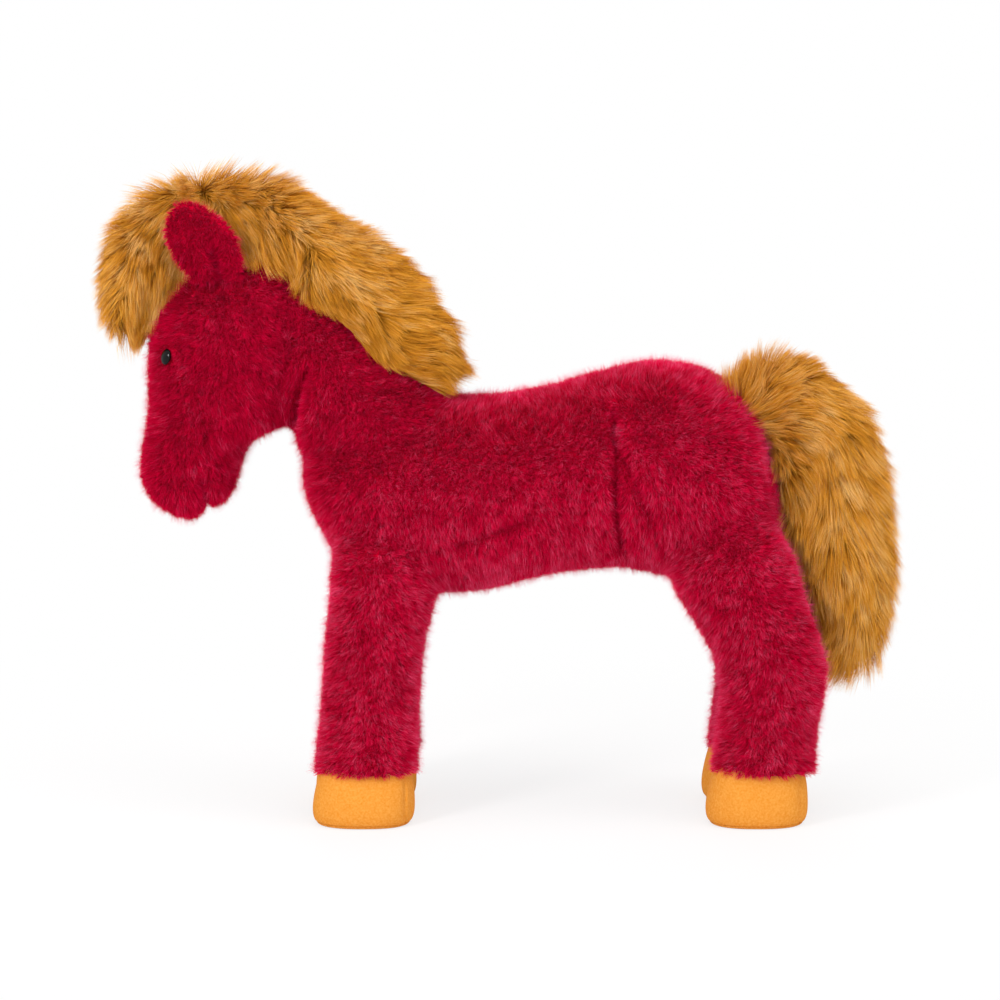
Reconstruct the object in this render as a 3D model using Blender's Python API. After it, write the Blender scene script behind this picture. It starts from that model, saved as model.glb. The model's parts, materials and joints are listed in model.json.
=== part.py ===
"""Plush horse on four stuffed legs, built as it is sewn: covers, stuffing, eyes, ears and hoofs.

Metres, +Z up. The nose points along -X and the tail along +X, so the horse's left side is -Y.
The origin lies on the floor, under the middle of the toy.
"""
import math

import bmesh
import bpy
import numpy as np
from mathutils import Matrix, Vector

for item in list(bpy.data.objects):
    bpy.data.objects.remove(item, do_unlink=True)

MM = 0.001

# Cloth, stuffing and clearances
SEAM_GAP = 0.3 * MM
SWING_GAP = 0.9 * MM
SIDE_GAP = 1.3 * MM
BODY_PLUSH = 2.2 * MM
EAR_PLUSH = 2.4 * MM
EAR_LINING = 1.8 * MM
HOOF_SUEDE = 1.2 * MM
SOLE_SUEDE = 1.6 * MM
SOLE_BOARD = 1.5 * MM
TAIL_PILE = 8.0 * MM
OVERRUN = 4.0 * MM

# Legs: hinge height and thickness
HOOF_HEIGHT = 22.0 * MM
LEG_LENGTH = 83.0 * MM
WHEELBASE = 147.0 * MM
SHOULDER_X = -47.8 * MM
HIP_SPREAD = 48.0 * MM
HOOF_SPREAD = 51.0 * MM
FRONT_LEG_DEPTH = 44.4 * MM
FRONT_LEG_WIDTH = 38.0 * MM
THIGH_DEPTH = 55.4 * MM
THIGH_WIDTH = 40.0 * MM
HOOF_DEPTH = 43.2 * MM
HOOF_WIDTH = 40.0 * MM
HOOF_TOE = 1.4 * MM
SWING_FORWARD = math.radians(12.0)
SWING_BACK_FRONT = math.radians(12.0)
SWING_BACK_HIND = math.radians(6.0)

# Torso
CHEST_OVERHANG = 33.7 * MM
RUMP_OVERHANG = 25.4 * MM
TORSO_DEPTH = 90.0 * MM
TORSO_WIDTH = 84.0 * MM

# Neck: its ball turns in the chest, at a share of the torso's depth
NECK_BACK = 0.7 * MM
NECK_HEIGHT_SHARE = 0.62
NECK_LENGTH = 84.0 * MM
NECK_DEPTH = 64.0 * MM
NECK_WIDTH = 62.0 * MM
NECK_ANGLE = math.radians(43.6)
NECK_UP = math.radians(10.0)
NECK_DOWN = math.radians(12.0)

# Head: it starts at an upright seam in front of the neck hinge
HEAD_SEAM_AHEAD = 36.9 * MM
CROWN_AHEAD = 64.1 * MM
CROWN_ABOVE = 79.0 * MM
HEAD_LENGTH = 115.6 * MM
HEAD_DEPTH = 66.0 * MM
HEAD_WIDTH = 56.0 * MM
HEAD_TILT = math.radians(9.5)
MOUTH_SLIT = 1.2 * MM
MOUTH_DEPTH = 7.0 * MM
MOUTH_WIDTH = 26.0 * MM
MOUTH_SLOPE = math.radians(48.0)

# Eyes: a dome on a shank, held by a washer inside the head
EYE_RADIUS = 3.3 * MM
EYE_DOME = 2.3 * MM
SHANK_RADIUS = 1.1 * MM
SHANK_LENGTH = 6.0 * MM
WASHER_RADIUS = 4.2 * MM
WASHER_THICKNESS = 1.0 * MM

# Ears
EAR_LENGTH = 38.0 * MM
EAR_WIDTH = 34.0 * MM
EAR_CUP = 2.6 * MM
EAR_SPREAD = 34.0 * MM
EAR_BEHIND_CROWN = -4.0 * MM
EAR_BELOW_CROWN = 11.6 * MM
EAR_RAKE = math.radians(21.0)
EAR_LEAN = math.radians(12.0)
EAR_ROOT_RADIUS = 2.9 * MM
EAR_ROOT_LENGTH = 26.0 * MM
EAR_FLOP_IN = math.radians(6.0)
EAR_FLOP_OUT = math.radians(24.0)

# Long pile: mane, forelock and tail; the tail's root lies on the rump
MANE_WIDTH = 50.0 * MM
FORELOCK_DEPTH = 45.0 * MM
FORELOCK_WIDTH = 48.0 * MM
TAIL_PLACE_SHARE = 0.256
TAIL_HEIGHT_SHARE = 0.755
TAIL_LENGTH = 120.0 * MM
TAIL_DEPTH = 45.0 * MM
TAIL_WIDTH = 45.0 * MM
TAIL_ROOT_RADIUS = 5.0 * MM
TAIL_CORE_RADIUS = 1.6 * MM
TAIL_LIFT = math.radians(30.0)

# Facets
TORSO_SIDES = 20
LIMB_SIDES = 16
CORE_SIDES = LIMB_SIDES // 2
SOCKET_SIDES = 24
HOOF_SIDES = 20
EYE_SIDES = 12
EAR_COLUMNS = 5
BALL_RINGS = 5
SOCKET_RINGS = 7

# Places that follow from the sizes
HINGE_Z = HOOF_HEIGHT + LEG_LENGTH
HIP_X = SHOULDER_X + WHEELBASE
CHEST_X = SHOULDER_X - CHEST_OVERHANG
RUMP_X = HIP_X + RUMP_OVERHANG
TORSO_LENGTH = RUMP_X - CHEST_X
NECK_HINGE = Vector((SHOULDER_X + NECK_BACK, 0, HINGE_Z + NECK_HEIGHT_SHARE * TORSO_DEPTH))
HEAD_SEAM_X = NECK_HINGE.x - HEAD_SEAM_AHEAD
CROWN = Vector((NECK_HINGE.x - CROWN_AHEAD, 0, NECK_HINGE.z + CROWN_ABOVE))
TAIL_HINGE = Vector(
    (HIP_X + TAIL_PLACE_SHARE * RUMP_OVERHANG, 0, HINGE_Z + TAIL_HEIGHT_SHARE * TORSO_DEPTH)
)
HALF_SPACE = 2 * TORSO_LENGTH

# Torso sections, chest to rump: place along it, underside and back as shares of the depth above
# the leg hinges, and width
TORSO_SHARES = (
    (0.0, 0.40, 0.53, 0.10),
    (0.010, 0.315, 0.60, 0.20),
    (0.028, 0.215, 0.648, 0.29),
    (0.068, 0.05, 0.725, 0.385),
    (0.147, -0.06, 0.772, 0.46),
    (0.278, -0.112, 0.80, 0.49),
    (0.401, -0.092, 0.816, 0.495),
    (0.523, -0.03, 0.853, 0.495),
    (0.645, -0.002, 0.918, 0.50),
    (0.727, -0.02, 0.95, 0.50),
    (0.808, -0.07, 0.932, 0.485),
    (0.875, -0.09, 0.842, 0.45),
    (0.925, -0.075, 0.70, 0.39),
    (0.958, -0.03, 0.51, 0.31),
    (0.982, 0.05, 0.36, 0.21),
    (1.0, 0.15, 0.25, 0.08),
)

# Leg sections below the hinge: how far down, lean along X, depth and width
FRONT_LEG_SHARES = (
    (0.15, 0.0, 1.0, 1.0),
    (0.30, -0.035, 0.965, 0.98),
    (0.50, -0.055, 0.935, 0.96),
    (0.75, -0.07, 0.935, 0.98),
    (1.0, -0.095, 0.97, 1.0),
)
HIND_LEG_SHARES = (
    (0.10, 0.03, 0.97, 1.0),
    (0.28, 0.113, 0.90, 0.98),
    (0.46, 0.192, 0.836, 0.96),
    (0.62, 0.19, 0.81, 0.95),
    (0.80, 0.162, 0.775, 0.95),
    (1.0, 0.136, 0.773, 0.97),
)

# Hoof sections up from the floor: height and size
HOOF_SHARES = (
    (0.10, 1.0),
    (0.35, 0.995),
    (0.65, 0.965),
    (1.0, 0.92),
)
SOLE_SHARES = (
    (0.0, 0.94),
    (0.35, 0.985),
    (1.0, 1.0),
)

# Neck sections from its ball: place along it, depth and width
NECK_SHARES = (
    (0.24, 0.95, 0.90),
    (0.48, 0.94, 0.84),
    (0.72, 0.93, 0.81),
    (1.0, 0.90, 0.78),
)

# Head sections, crown to nose: place along it, reach in front of and behind its line, half width
HEAD_SHARES = (
    (-0.010, 0.0, 0.40, 0.10),
    (0.015, 0.11, 0.475, 0.25),
    (0.08, 0.225, 0.52, 0.37),
    (0.205, 0.37, 0.56, 0.47),
    (0.35, 0.43, 0.58, 0.50),
    (0.52, 0.39, 0.575, 0.49),
    (0.625, 0.353, 0.50, 0.455),
    (0.69, 0.348, 0.31, 0.42),
    (0.81, 0.335, 0.27, 0.39),
    (0.90, 0.303, 0.232, 0.348),
    (0.96, 0.232, 0.15, 0.25),
    (1.0, 0.08, 0.05, 0.08),
)
EYE_ALONG_SHARE = 0.412
EYE_ACROSS_SHARE = -0.30
MOUTH_ALONG_SHARE = 0.945
MOUTH_BEHIND_SHARE = 0.14

# Ear sections from its hinge: place along it, width and thickness
EAR_SHARES = (
    (-0.065, 0.66, 0.5),
    (0.0, 0.70, 0.9),
    (0.08, 0.74, 1.0),
    (0.20, 0.92, 1.0),
    (0.38, 1.0, 1.0),
    (0.56, 0.98, 1.0),
    (0.74, 0.84, 0.9),
    (0.89, 0.56, 0.8),
    (0.97, 0.30, 0.6),
    (1.0, 0.12, 0.4),
)

# Mane sections along the neck's line: place, inner and outer reach as shares of the neck's depth,
# and width
MANE_SHARES = (
    (-0.14, 0.53, 0.64, 0.16),
    (-0.07, 0.42, 0.71, 0.64),
    (0.04, 0.31, 0.765, 0.88),
    (0.26, 0.25, 0.82, 1.0),
    (0.49, 0.235, 0.852, 1.0),
    (0.73, 0.235, 0.88, 1.0),
    (0.98, 0.20, 0.86, 1.0),
    (1.34, 0.15, 0.81, 0.96),
)

# Forelock path from the crown, behind and above it in shares of the head's length, with depth
# and width
FORELOCK_SHARES = (
    (0.30, 0.075, 0.80, 1.0),
    (0.16, 0.105, 0.86, 0.84),
    (0.055, 0.117, 0.90, 0.56),
    (-0.06, 0.112, 0.96, 0.54),
    (-0.17, 0.10, 0.98, 0.54),
    (-0.25, 0.062, 0.94, 0.58),
    (-0.315, -0.01, 0.84, 0.80),
    (-0.375, -0.13, 0.63, 0.84),
    (-0.40, -0.27, 0.42, 0.66),
    (-0.39, -0.40, 0.14, 0.22),
)

# Tail path from its root, behind and below it in shares of its length, with depth and width
TAIL_SHARES = (
    (0.0, -0.03, 0.24, 0.24),
    (0.055, -0.105, 0.50, 0.52),
    (0.155, -0.085, 0.72, 0.76),
    (0.265, 0.055, 0.87, 0.92),
    (0.31, 0.26, 0.98, 1.0),
    (0.337, 0.445, 0.94, 1.0),
    (0.368, 0.62, 0.82, 0.90),
    (0.402, 0.78, 0.53, 0.68),
    (0.398, 0.89, 0.36, 0.46),
    (0.385, 0.97, 0.14, 0.18),
)

# Colour, roughness of each material
CRIMSON = (0.41, 0.002, 0.022)
GOLD = (0.50, 0.20, 0.035)
ORANGE = (0.93, 0.34, 0.04)
BLACK = (0.006, 0.005, 0.005)
WHITE = (0.82, 0.81, 0.78)
GREY = (0.42, 0.40, 0.37)
LOOKS = {
    "plush": (CRIMSON, 0.9),
    "long_pile": (GOLD, 0.85),
    "suede": (ORANGE, 0.8),
    "eye_gloss": (BLACK, 0.08),
    "fibrefill": (WHITE, 0.95),
    "board": (GREY, 0.8),
    "washer_plastic": (WHITE, 0.5),
}


# Tools for rings and closed skins
def ring(centre, across, half_across, half_side, sides, lift=0.0):
    """Oval ring of points; its long way lies in the XZ plane along across, its other way along Y."""
    turn = np.arange(sides) * 2 * math.pi / sides + lift
    flat = np.outer(np.cos(turn) * half_across, across)
    flat[:, 1] += np.sin(turn) * half_side
    return flat + np.array(centre)


def loft(rings):
    """Closed skin over a row of rings, capped at both ends.

    Each strip is split along the same diagonal, so that one skin inside another keeps its gap.
    """
    skin = bmesh.new()
    loops = [[skin.verts.new(point) for point in points] for points in rings]
    for low, high in zip(loops, loops[1:]):
        for k in range(len(low)):
            after = (k + 1) % len(low)
            skin.faces.new((low[k], low[after], high[after]))
            skin.faces.new((low[k], high[after], high[k]))
    skin.faces.new(loops[0][::-1])
    skin.faces.new(loops[-1])
    bmesh.ops.recalc_face_normals(skin, faces=skin.faces)
    return skin


def path_rings(points, halves, half_sides, sides):
    """Rings set square to a path in the XZ plane."""
    points = np.array(points)
    steps = np.gradient(points, axis=0)
    rings = []
    for point, step, half, half_side in zip(points, steps, halves, half_sides):
        step = step / np.linalg.norm(step)
        across = np.array((-step[2], 0, step[0]))
        rings.append(ring(point, across, half, half_side, sides))
    return rings


def ball_slopes(count):
    """Slopes of the rings of a half ball, from near its pole to just short of its waist."""
    return [math.pi / 2 * (1 - (k + 0.3) / count) for k in range(count)]


# Scene objects
materials = {}
for slot, (colour, roughness) in LOOKS.items():
    material = bpy.data.materials.new(slot)
    material.use_nodes = True
    shader = material.node_tree.nodes["Principled BSDF"]
    shader.inputs["Base Color"].default_value = (*colour, 1)
    shader.inputs["Roughness"].default_value = roughness
    shader.inputs["Metallic"].default_value = 0
    materials[slot] = material

pivot_places = {}


def pivot(name, place, parent=None):
    """Empty on a joint's axis that carries a moving body."""
    empty = bpy.data.objects.new(name, None)
    empty.empty_display_size = EYE_RADIUS
    empty.parent = parent
    empty.location = place - pivot_places.get(parent, Vector())
    pivot_places[empty] = place
    bpy.context.scene.collection.objects.link(empty)
    return empty


def link(name, skin, carrier, smooth=True):
    """Object made from a skin in world places, carried by a pivot or by the torso's frame."""
    skin.transform(Matrix.Translation(-pivot_places.get(carrier, Vector())))
    mesh = bpy.data.meshes.new(name)
    skin.to_mesh(mesh)
    skin.free()
    if smooth:
        mesh.shade_smooth()
        mesh.set_sharp_from_angle(angle=math.radians(50))
    thing = bpy.data.objects.new(name, mesh)
    thing.parent = carrier
    bpy.context.scene.collection.objects.link(thing)
    return thing


def piece(name, skin, slot, carrier=None, cutters=()):
    """One sewn or moulded piece, with its material and its cuts."""
    thing = link(name, skin, carrier)
    thing.data.materials.append(materials[slot])
    for cutter in cutters:
        cut = thing.modifiers.new("cut_" + cutter.name, "BOOLEAN")
        cut.operation = "DIFFERENCE"
        cut.solver = "EXACT"
        cut.object = cutter
    return thing


def cutter(name, skin, carrier=None):
    """Guide solid that only cuts others."""
    thing = link(name, skin, carrier, smooth=False)
    thing.hide_render = True
    thing.display_type = "WIRE"
    return thing


def box_skin(low, high):
    skin = bmesh.new()
    bmesh.ops.create_cube(skin, size=1)
    low = Vector(low)
    high = Vector(high)
    skin.transform(Matrix.Translation((low + high) / 2) @ Matrix.Diagonal((*(high - low), 1)))
    return skin


def rod_skin(start, end, radius, sides):
    """Solid round rod between two points."""
    start = Vector(start)
    reach = Vector(end) - start
    skin = bmesh.new()
    bmesh.ops.create_cone(
        skin, cap_ends=True, segments=sides, radius1=radius, radius2=radius, depth=reach.length
    )
    turn = reach.to_track_quat("Z", "Y").to_matrix().to_4x4()
    skin.transform(Matrix.Translation(start + reach / 2) @ turn)
    return skin


def turned(skin, place, axis, angle):
    """The same skin swung about an axis through a place."""
    swing = Matrix.Translation(place) @ Matrix.Rotation(angle, 4, axis) @ Matrix.Translation(-place)
    skin.transform(swing)
    return skin


# Torso
def torso_skin(inset, sides=TORSO_SIDES):
    """Barrel of the body; inset takes it in all round, or lets it out where it is below zero."""
    middle = (CHEST_X + RUMP_X) / 2
    shrink = 1 - 2 * inset / TORSO_LENGTH
    rings = []
    for along, low, high, width in TORSO_SHARES:
        x = middle + (CHEST_X + along * TORSO_LENGTH - middle) * shrink
        half_depth = (high - low) * TORSO_DEPTH / 2
        half_width = width * TORSO_WIDTH
        least = min(half_depth, half_width)
        keep = max(least - inset, least / 3) - least
        centre = (x, 0, HINGE_Z + (high + low) * TORSO_DEPTH / 2)
        rings.append(ring(centre, (0, 0, 1), half_depth + keep, half_width + keep, sides))
    return loft(rings)


# Legs
def leg_parts(hind):
    """Hinge X, half depth, half width, section shares and swing of one pair of legs."""
    if hind:
        return HIP_X, THIGH_DEPTH / 2, THIGH_WIDTH / 2, HIND_LEG_SHARES, SWING_BACK_HIND
    return SHOULDER_X, FRONT_LEG_DEPTH / 2, FRONT_LEG_WIDTH / 2, FRONT_LEG_SHARES, SWING_BACK_FRONT


def leg_line(down_share, side):
    """Y of the leg's middle at a share of the way down."""
    return side * (HIP_SPREAD + (HOOF_SPREAD - HIP_SPREAD) * down_share) / 2


def leg_rings(hind, side, inset, sides=LIMB_SIDES):
    """Leg with its ball on top, down to the hoof's top edge."""
    hinge_x, half_depth, half_width, shares, _ = leg_parts(hind)
    rings = []
    for slope in ball_slopes(BALL_RINGS):
        shrink = math.cos(slope)
        centre = (hinge_x, leg_line(0, side), HINGE_Z + (half_depth - inset) * math.sin(slope))
        rings.append(
            ring(centre, (1, 0, 0), (half_depth - inset) * shrink, (half_width - inset) * shrink, sides)
        )
    centre = (hinge_x, leg_line(0, side), HINGE_Z)
    rings.append(ring(centre, (1, 0, 0), half_depth - inset, half_width - inset, sides))
    for down, lean, depth, width in shares:
        centre = (hinge_x + lean * LEG_LENGTH, leg_line(down, side), HINGE_Z - down * LEG_LENGTH)
        rings.append(
            ring(centre, (1, 0, 0), depth * half_depth - inset, width * half_width - inset, sides)
        )
    return rings


def hoof_rings(hind, side, levels, height, inset, base=0.0, sides=HOOF_SIDES):
    """Hoof outline at several heights; its toe stands forward of the leg at the floor."""
    hinge_x, _, _, shares, _ = leg_parts(hind)
    heel_x = hinge_x + shares[-1][1] * LEG_LENGTH
    rings = []
    for level, size in levels:
        z = base + level * height
        centre = (heel_x + HOOF_TOE * (z / HOOF_HEIGHT - 1), leg_line(1, side), z)
        half_depth = HOOF_DEPTH * size / 2 - inset
        half_width = HOOF_WIDTH * size / 2 - inset
        rings.append(ring(centre, (1, 0, 0), half_depth, half_width, sides))
    return rings


def swung_reach(level, edge, radius, swings):
    """How far an edge stands out at one level below the hinge, over a limb's whole swing."""
    best = math.sqrt(max(radius**2 - level**2, 0))
    for swing in swings:
        along = [s * math.cos(swing) - a * math.sin(swing) for s, a in edge]
        across = [s * math.sin(swing) + a * math.cos(swing) for s, a in edge]
        if along[0] <= level <= along[-1]:
            best = max(best, float(np.interp(level, along, across)))
    return best


def socket_rings(place, axis, radius, half_side, edges, swings, end):
    """Socket round a limb: a ball's shell that flares to let the limb swing.

    The limb leaves place along axis. edges holds its two outlines in the XZ plane as rows of
    places along and across the axis, and swings its greatest turn towards each edge.
    """
    axis = np.array(axis)
    across = np.array((-axis[2], 0, axis[0]))
    shell = radius + SWING_GAP
    shell_side = half_side + SIDE_GAP
    levels = [-shell * math.sin(slope) for slope in ball_slopes(SOCKET_RINGS)]
    flare = [shell * math.sin(-max(swings) + step * (max(swings) / 2)) for step in range(3)]
    levels += [level for level in flare if level > levels[-1]]
    levels += [end / 3, 2 * end / 3, end]
    rings = []
    for level in levels:
        turns = np.linspace(-1, 1, 9)
        plus = swung_reach(level, edges[0], radius, turns * swings[0]) + SWING_GAP
        minus = swung_reach(level, edges[1], radius, turns * swings[1]) + SWING_GAP
        side = shell_side
        if level < 0:
            fullness = math.sqrt(max(1 - (level / shell) ** 2, 0))
            side = shell_side * fullness
            plus = max(plus, shell * fullness)
            minus = max(minus, shell * fullness)
        centre = np.array(place) + axis * level + across * (plus - minus) / 2
        rings.append(ring(centre, across, (plus + minus) / 2, side, SOCKET_SIDES))
    return rings


def leg_socket(hind, side):
    hinge_x, half_depth, half_width, shares, swing_back = leg_parts(hind)
    # The axis points down, so across it is +X, the way the leg swings back
    back = [(0, half_depth)]
    front = [(0, half_depth)]
    for down, lean, depth, _ in shares:
        back.append((down * LEG_LENGTH, lean * LEG_LENGTH + depth * half_depth))
        front.append((down * LEG_LENGTH, -lean * LEG_LENGTH + depth * half_depth))
    swings = (swing_back, SWING_FORWARD)
    place = (hinge_x, leg_line(0, side), HINGE_Z)
    return loft(
        socket_rings(place, (0, 0, -1), half_depth, half_width, (back, front), swings, LEG_LENGTH / 2)
    )


# Neck and head
NECK_LINE = Vector((-math.cos(NECK_ANGLE), 0, math.sin(NECK_ANGLE)))
NECK_CREST = Vector((math.sin(NECK_ANGLE), 0, math.cos(NECK_ANGLE)))
HEAD_LINE = Vector((-math.sin(HEAD_TILT), 0, -math.cos(HEAD_TILT)))
HEAD_BACK = Vector((math.cos(HEAD_TILT), 0, -math.sin(HEAD_TILT)))


def neck_skin(inset, sides=LIMB_SIDES):
    radius = NECK_DEPTH / 2 - inset
    half_width = NECK_WIDTH / 2 - inset
    rings = []
    for slope in ball_slopes(BALL_RINGS):
        centre = NECK_HINGE - NECK_LINE * radius * math.sin(slope)
        rings.append(
            ring(centre, NECK_CREST, radius * math.cos(slope), half_width * math.cos(slope), sides)
        )
    rings.append(ring(NECK_HINGE, NECK_CREST, radius, half_width, sides))
    for along, depth, width in NECK_SHARES:
        centre = NECK_HINGE + NECK_LINE * along * NECK_LENGTH
        half = depth * NECK_DEPTH / 2 - inset
        rings.append(ring(centre, NECK_CREST, half, width * NECK_WIDTH / 2 - inset, sides))
    return loft(rings)


def neck_socket():
    edge = [(0, NECK_DEPTH / 2)]
    edge += [(along * NECK_LENGTH, depth * NECK_DEPTH / 2) for along, depth, _ in NECK_SHARES]
    swings = (NECK_DOWN, NECK_UP)
    return loft(
        socket_rings(
            NECK_HINGE, NECK_LINE, NECK_DEPTH / 2, NECK_WIDTH / 2, (edge, edge), swings, NECK_LENGTH
        )
    )


def head_section(along):
    """Middle, half depth and half width of the head at a share of its length."""
    table = np.array(HEAD_SHARES)
    front, back, width = (np.interp(along, table[:, 0], table[:, k]) for k in (1, 2, 3))
    offset = (back - front) * HEAD_DEPTH / 2
    centre = CROWN + HEAD_LINE * along * HEAD_LENGTH + HEAD_BACK * offset
    return centre, (front + back) * HEAD_DEPTH / 2, width * HEAD_WIDTH


def head_skin(inset, sides=LIMB_SIDES):
    rings = []
    shrink = 1 - 2 * inset / HEAD_LENGTH
    for along, _, _, _ in HEAD_SHARES:
        centre, half_depth, half_width = head_section(along)
        centre += HEAD_LINE * (along - 0.5) * HEAD_LENGTH * (shrink - 1)
        least = min(half_depth, half_width)
        keep = max(least - inset, least / 3) - least
        rings.append(ring(centre, HEAD_BACK, half_depth + keep, half_width + keep, sides))
    return loft(rings)


def eye_place(side):
    """Point on the head's skin where an eye sits, and the way it looks."""
    centre, half_depth, half_width = head_section(EYE_ALONG_SHARE)
    offset = (centre - CROWN).dot(HEAD_BACK)
    across = (EYE_ACROSS_SHARE * HEAD_DEPTH - offset) / half_depth
    y = half_width * math.sqrt(1 - across**2)
    spot = centre + HEAD_BACK * across * half_depth + Vector((0, side * y, 0))
    look = HEAD_BACK * across / half_depth + Vector((0, side * y / half_width**2, 0))
    return spot, look.normalized()


def turned_skin(profile, spot, look, sides):
    """Solid turned about an eye's axis; profile rows are radius and height, from end to end."""
    skin = bmesh.new()
    row = [skin.verts.new((radius, 0, height)) for radius, height in profile]
    edges = [skin.edges.new(pair) for pair in zip(row, row[1:])]
    bmesh.ops.spin(
        skin, geom=row + edges, cent=(0, 0, 0), axis=(0, 0, 1), angle=2 * math.pi,
        steps=sides, use_merge=True, use_duplicate=False,
    )
    bmesh.ops.remove_doubles(skin, verts=skin.verts, dist=SEAM_GAP / 10)
    bmesh.ops.recalc_face_normals(skin, faces=skin.faces)
    skin.transform(Matrix.Translation(spot) @ look.to_track_quat("Z", "Y").to_matrix().to_4x4())
    return skin


def eye_profile():
    """Shank end, shank, flat back and dome of a safety eye."""
    rows = [(0, -SHANK_LENGTH), (SHANK_RADIUS, -SHANK_LENGTH), (SHANK_RADIUS, SEAM_GAP)]
    for step in range(5):
        slope = step * math.pi / 8
        rows.append((EYE_RADIUS * math.cos(slope), SEAM_GAP + EYE_DOME * math.sin(slope)))
    rows[-1] = (0, SEAM_GAP + EYE_DOME)
    return rows


def washer_profile():
    """Locking washer that sits on the shank behind the cover."""
    top = -BODY_PLUSH - SEAM_GAP
    bore = SHANK_RADIUS + SEAM_GAP
    bottom = top - WASHER_THICKNESS
    return [(bore, bottom), (WASHER_RADIUS, bottom), (WASHER_RADIUS, top), (bore, top), (bore, bottom)]


def washer_pocket(side, depth):
    """Room for the washer and the shank's end, from a depth under the skin."""
    spot, look = eye_place(side)
    end = spot - look * (SHANK_LENGTH + SEAM_GAP)
    return rod_skin(spot - look * depth, end, WASHER_RADIUS + SEAM_GAP, EYE_SIDES)


# Ears
def ear_root(side):
    return CROWN + Vector((EAR_BEHIND_CROWN, side * EAR_SPREAD / 2, -EAR_BELOW_CROWN))


def ear_frame(side):
    """Ways up the leaf and out of its back; its width runs along X, as its hinge does."""
    rise = Vector((-math.sin(EAR_RAKE), side * math.sin(EAR_LEAN), math.cos(EAR_RAKE))).normalized()
    out = Vector((0, side, -side * rise.y / rise.z)).normalized()
    return rise, out


def ear_skin(side, back_layer):
    """One layer of the ear's leaf; the two layers lie on each other, cupped towards the mane."""
    root = ear_root(side)
    rise, out = ear_frame(side)
    face, bulge = (SEAM_GAP / 2, EAR_PLUSH) if back_layer else (-SEAM_GAP / 2, -EAR_LINING)
    rings = []
    for along, width, bulk in EAR_SHARES:
        half = width * EAR_WIDTH / 2
        points = []
        across = np.linspace(-1, 1, EAR_COLUMNS)
        for thickness, order in ((bulge, across), (0, across[::-1])):
            for v in order:
                cup = EAR_CUP * (1 - v**2) * math.sin(math.pi * max(along, 0))
                spot = root + rise * along * EAR_LENGTH + Vector((v * half, 0, 0))
                points.append(spot + out * (face + thickness * bulk * (1 - v**4 / 2) + cup))
        rings.append(points)
    return loft(rings)


def ear_slot(side):
    """Slot in the head round the ear's root, flared upwards for its flop."""
    root = ear_root(side)
    rise, _ = ear_frame(side)
    radius = EAR_ROOT_RADIUS + SEAM_GAP
    lean = math.atan2(side * rise.y, rise.z)
    start = lean - EAR_FLOP_IN
    stop = lean + EAR_FLOP_OUT
    outline = []
    for step in range(9):
        turn = stop + (math.pi - stop + start) * step / 8
        outline.append((side * math.cos(turn) * radius, -math.sin(turn) * radius))
    for turn, way in ((start, -1), (stop, 1)):
        wall = (way * math.cos(turn) * radius, -way * math.sin(turn) * radius)
        top = (wall[0] + math.sin(turn) * EAR_LENGTH, wall[1] + math.cos(turn) * EAR_LENGTH)
        outline.append((side * top[0], top[1]))
    rings = []
    for end in (-1, 1):
        x = root.x + end * (EAR_ROOT_LENGTH / 2 + SWING_GAP)
        rings.append([(x, root.y + y, root.z + z) for y, z in outline])
    return loft(rings)


# Long pile
def mane_skin():
    rings = []
    for along, inner, outer, width in MANE_SHARES:
        middle = (inner + outer) * NECK_DEPTH / 2
        centre = NECK_HINGE + NECK_LINE * along * NECK_LENGTH + NECK_CREST * middle
        half = (outer - inner) * NECK_DEPTH / 2
        half_width = width * MANE_WIDTH / 2
        rings.append(ring(centre, NECK_CREST, half, half_width, LIMB_SIDES, math.pi / LIMB_SIDES))
    return loft(rings)


def forelock_skin():
    points = [
        CROWN + Vector((behind * HEAD_LENGTH, 0, above * HEAD_LENGTH))
        for behind, above, _, _ in FORELOCK_SHARES
    ]
    halves = [depth * FORELOCK_DEPTH / 2 for _, _, depth, _ in FORELOCK_SHARES]
    half_sides = [width * FORELOCK_WIDTH / 2 for _, _, _, width in FORELOCK_SHARES]
    return loft(path_rings(points, halves, half_sides, LIMB_SIDES))


def tail_skin():
    points = [
        TAIL_HINGE + Vector((behind * TAIL_LENGTH, 0, -below * TAIL_LENGTH))
        for behind, below, _, _ in TAIL_SHARES
    ]
    halves = [depth * TAIL_DEPTH / 2 for _, _, depth, _ in TAIL_SHARES]
    half_sides = [width * TAIL_WIDTH / 2 for _, _, _, width in TAIL_SHARES]
    return loft(path_rings(points, halves, half_sides, LIMB_SIDES))


def tail_core_skin(gap):
    """Inside of the tail's pile, which ends short of the tip; gap takes it in a little more."""
    points = []
    halves = []
    half_sides = []
    for behind, below, depth, width in TAIL_SHARES[:-1]:
        points.append(TAIL_HINGE + Vector((behind * TAIL_LENGTH, 0, -below * TAIL_LENGTH)))
        halves.append(max(depth * TAIL_DEPTH / 2 - TAIL_PILE, TAIL_CORE_RADIUS) - gap)
        half_sides.append(max(width * TAIL_WIDTH / 2 - TAIL_PILE, TAIL_CORE_RADIUS) - gap)
    points[-1] += Vector((0, 0, gap))
    return loft(path_rings(points, halves, half_sides, CORE_SIDES))


# Pivots on the joints' axes
neck_pivot = pivot("neck_hinge", NECK_HINGE)
twist_place = Vector((HEAD_SEAM_X, 0, NECK_HINGE.z + CROWN_ABOVE / 2))
head_pivot = pivot("head_twist", twist_place, neck_pivot)
tail_pivot = pivot("tail_hinge", TAIL_HINGE)

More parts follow.
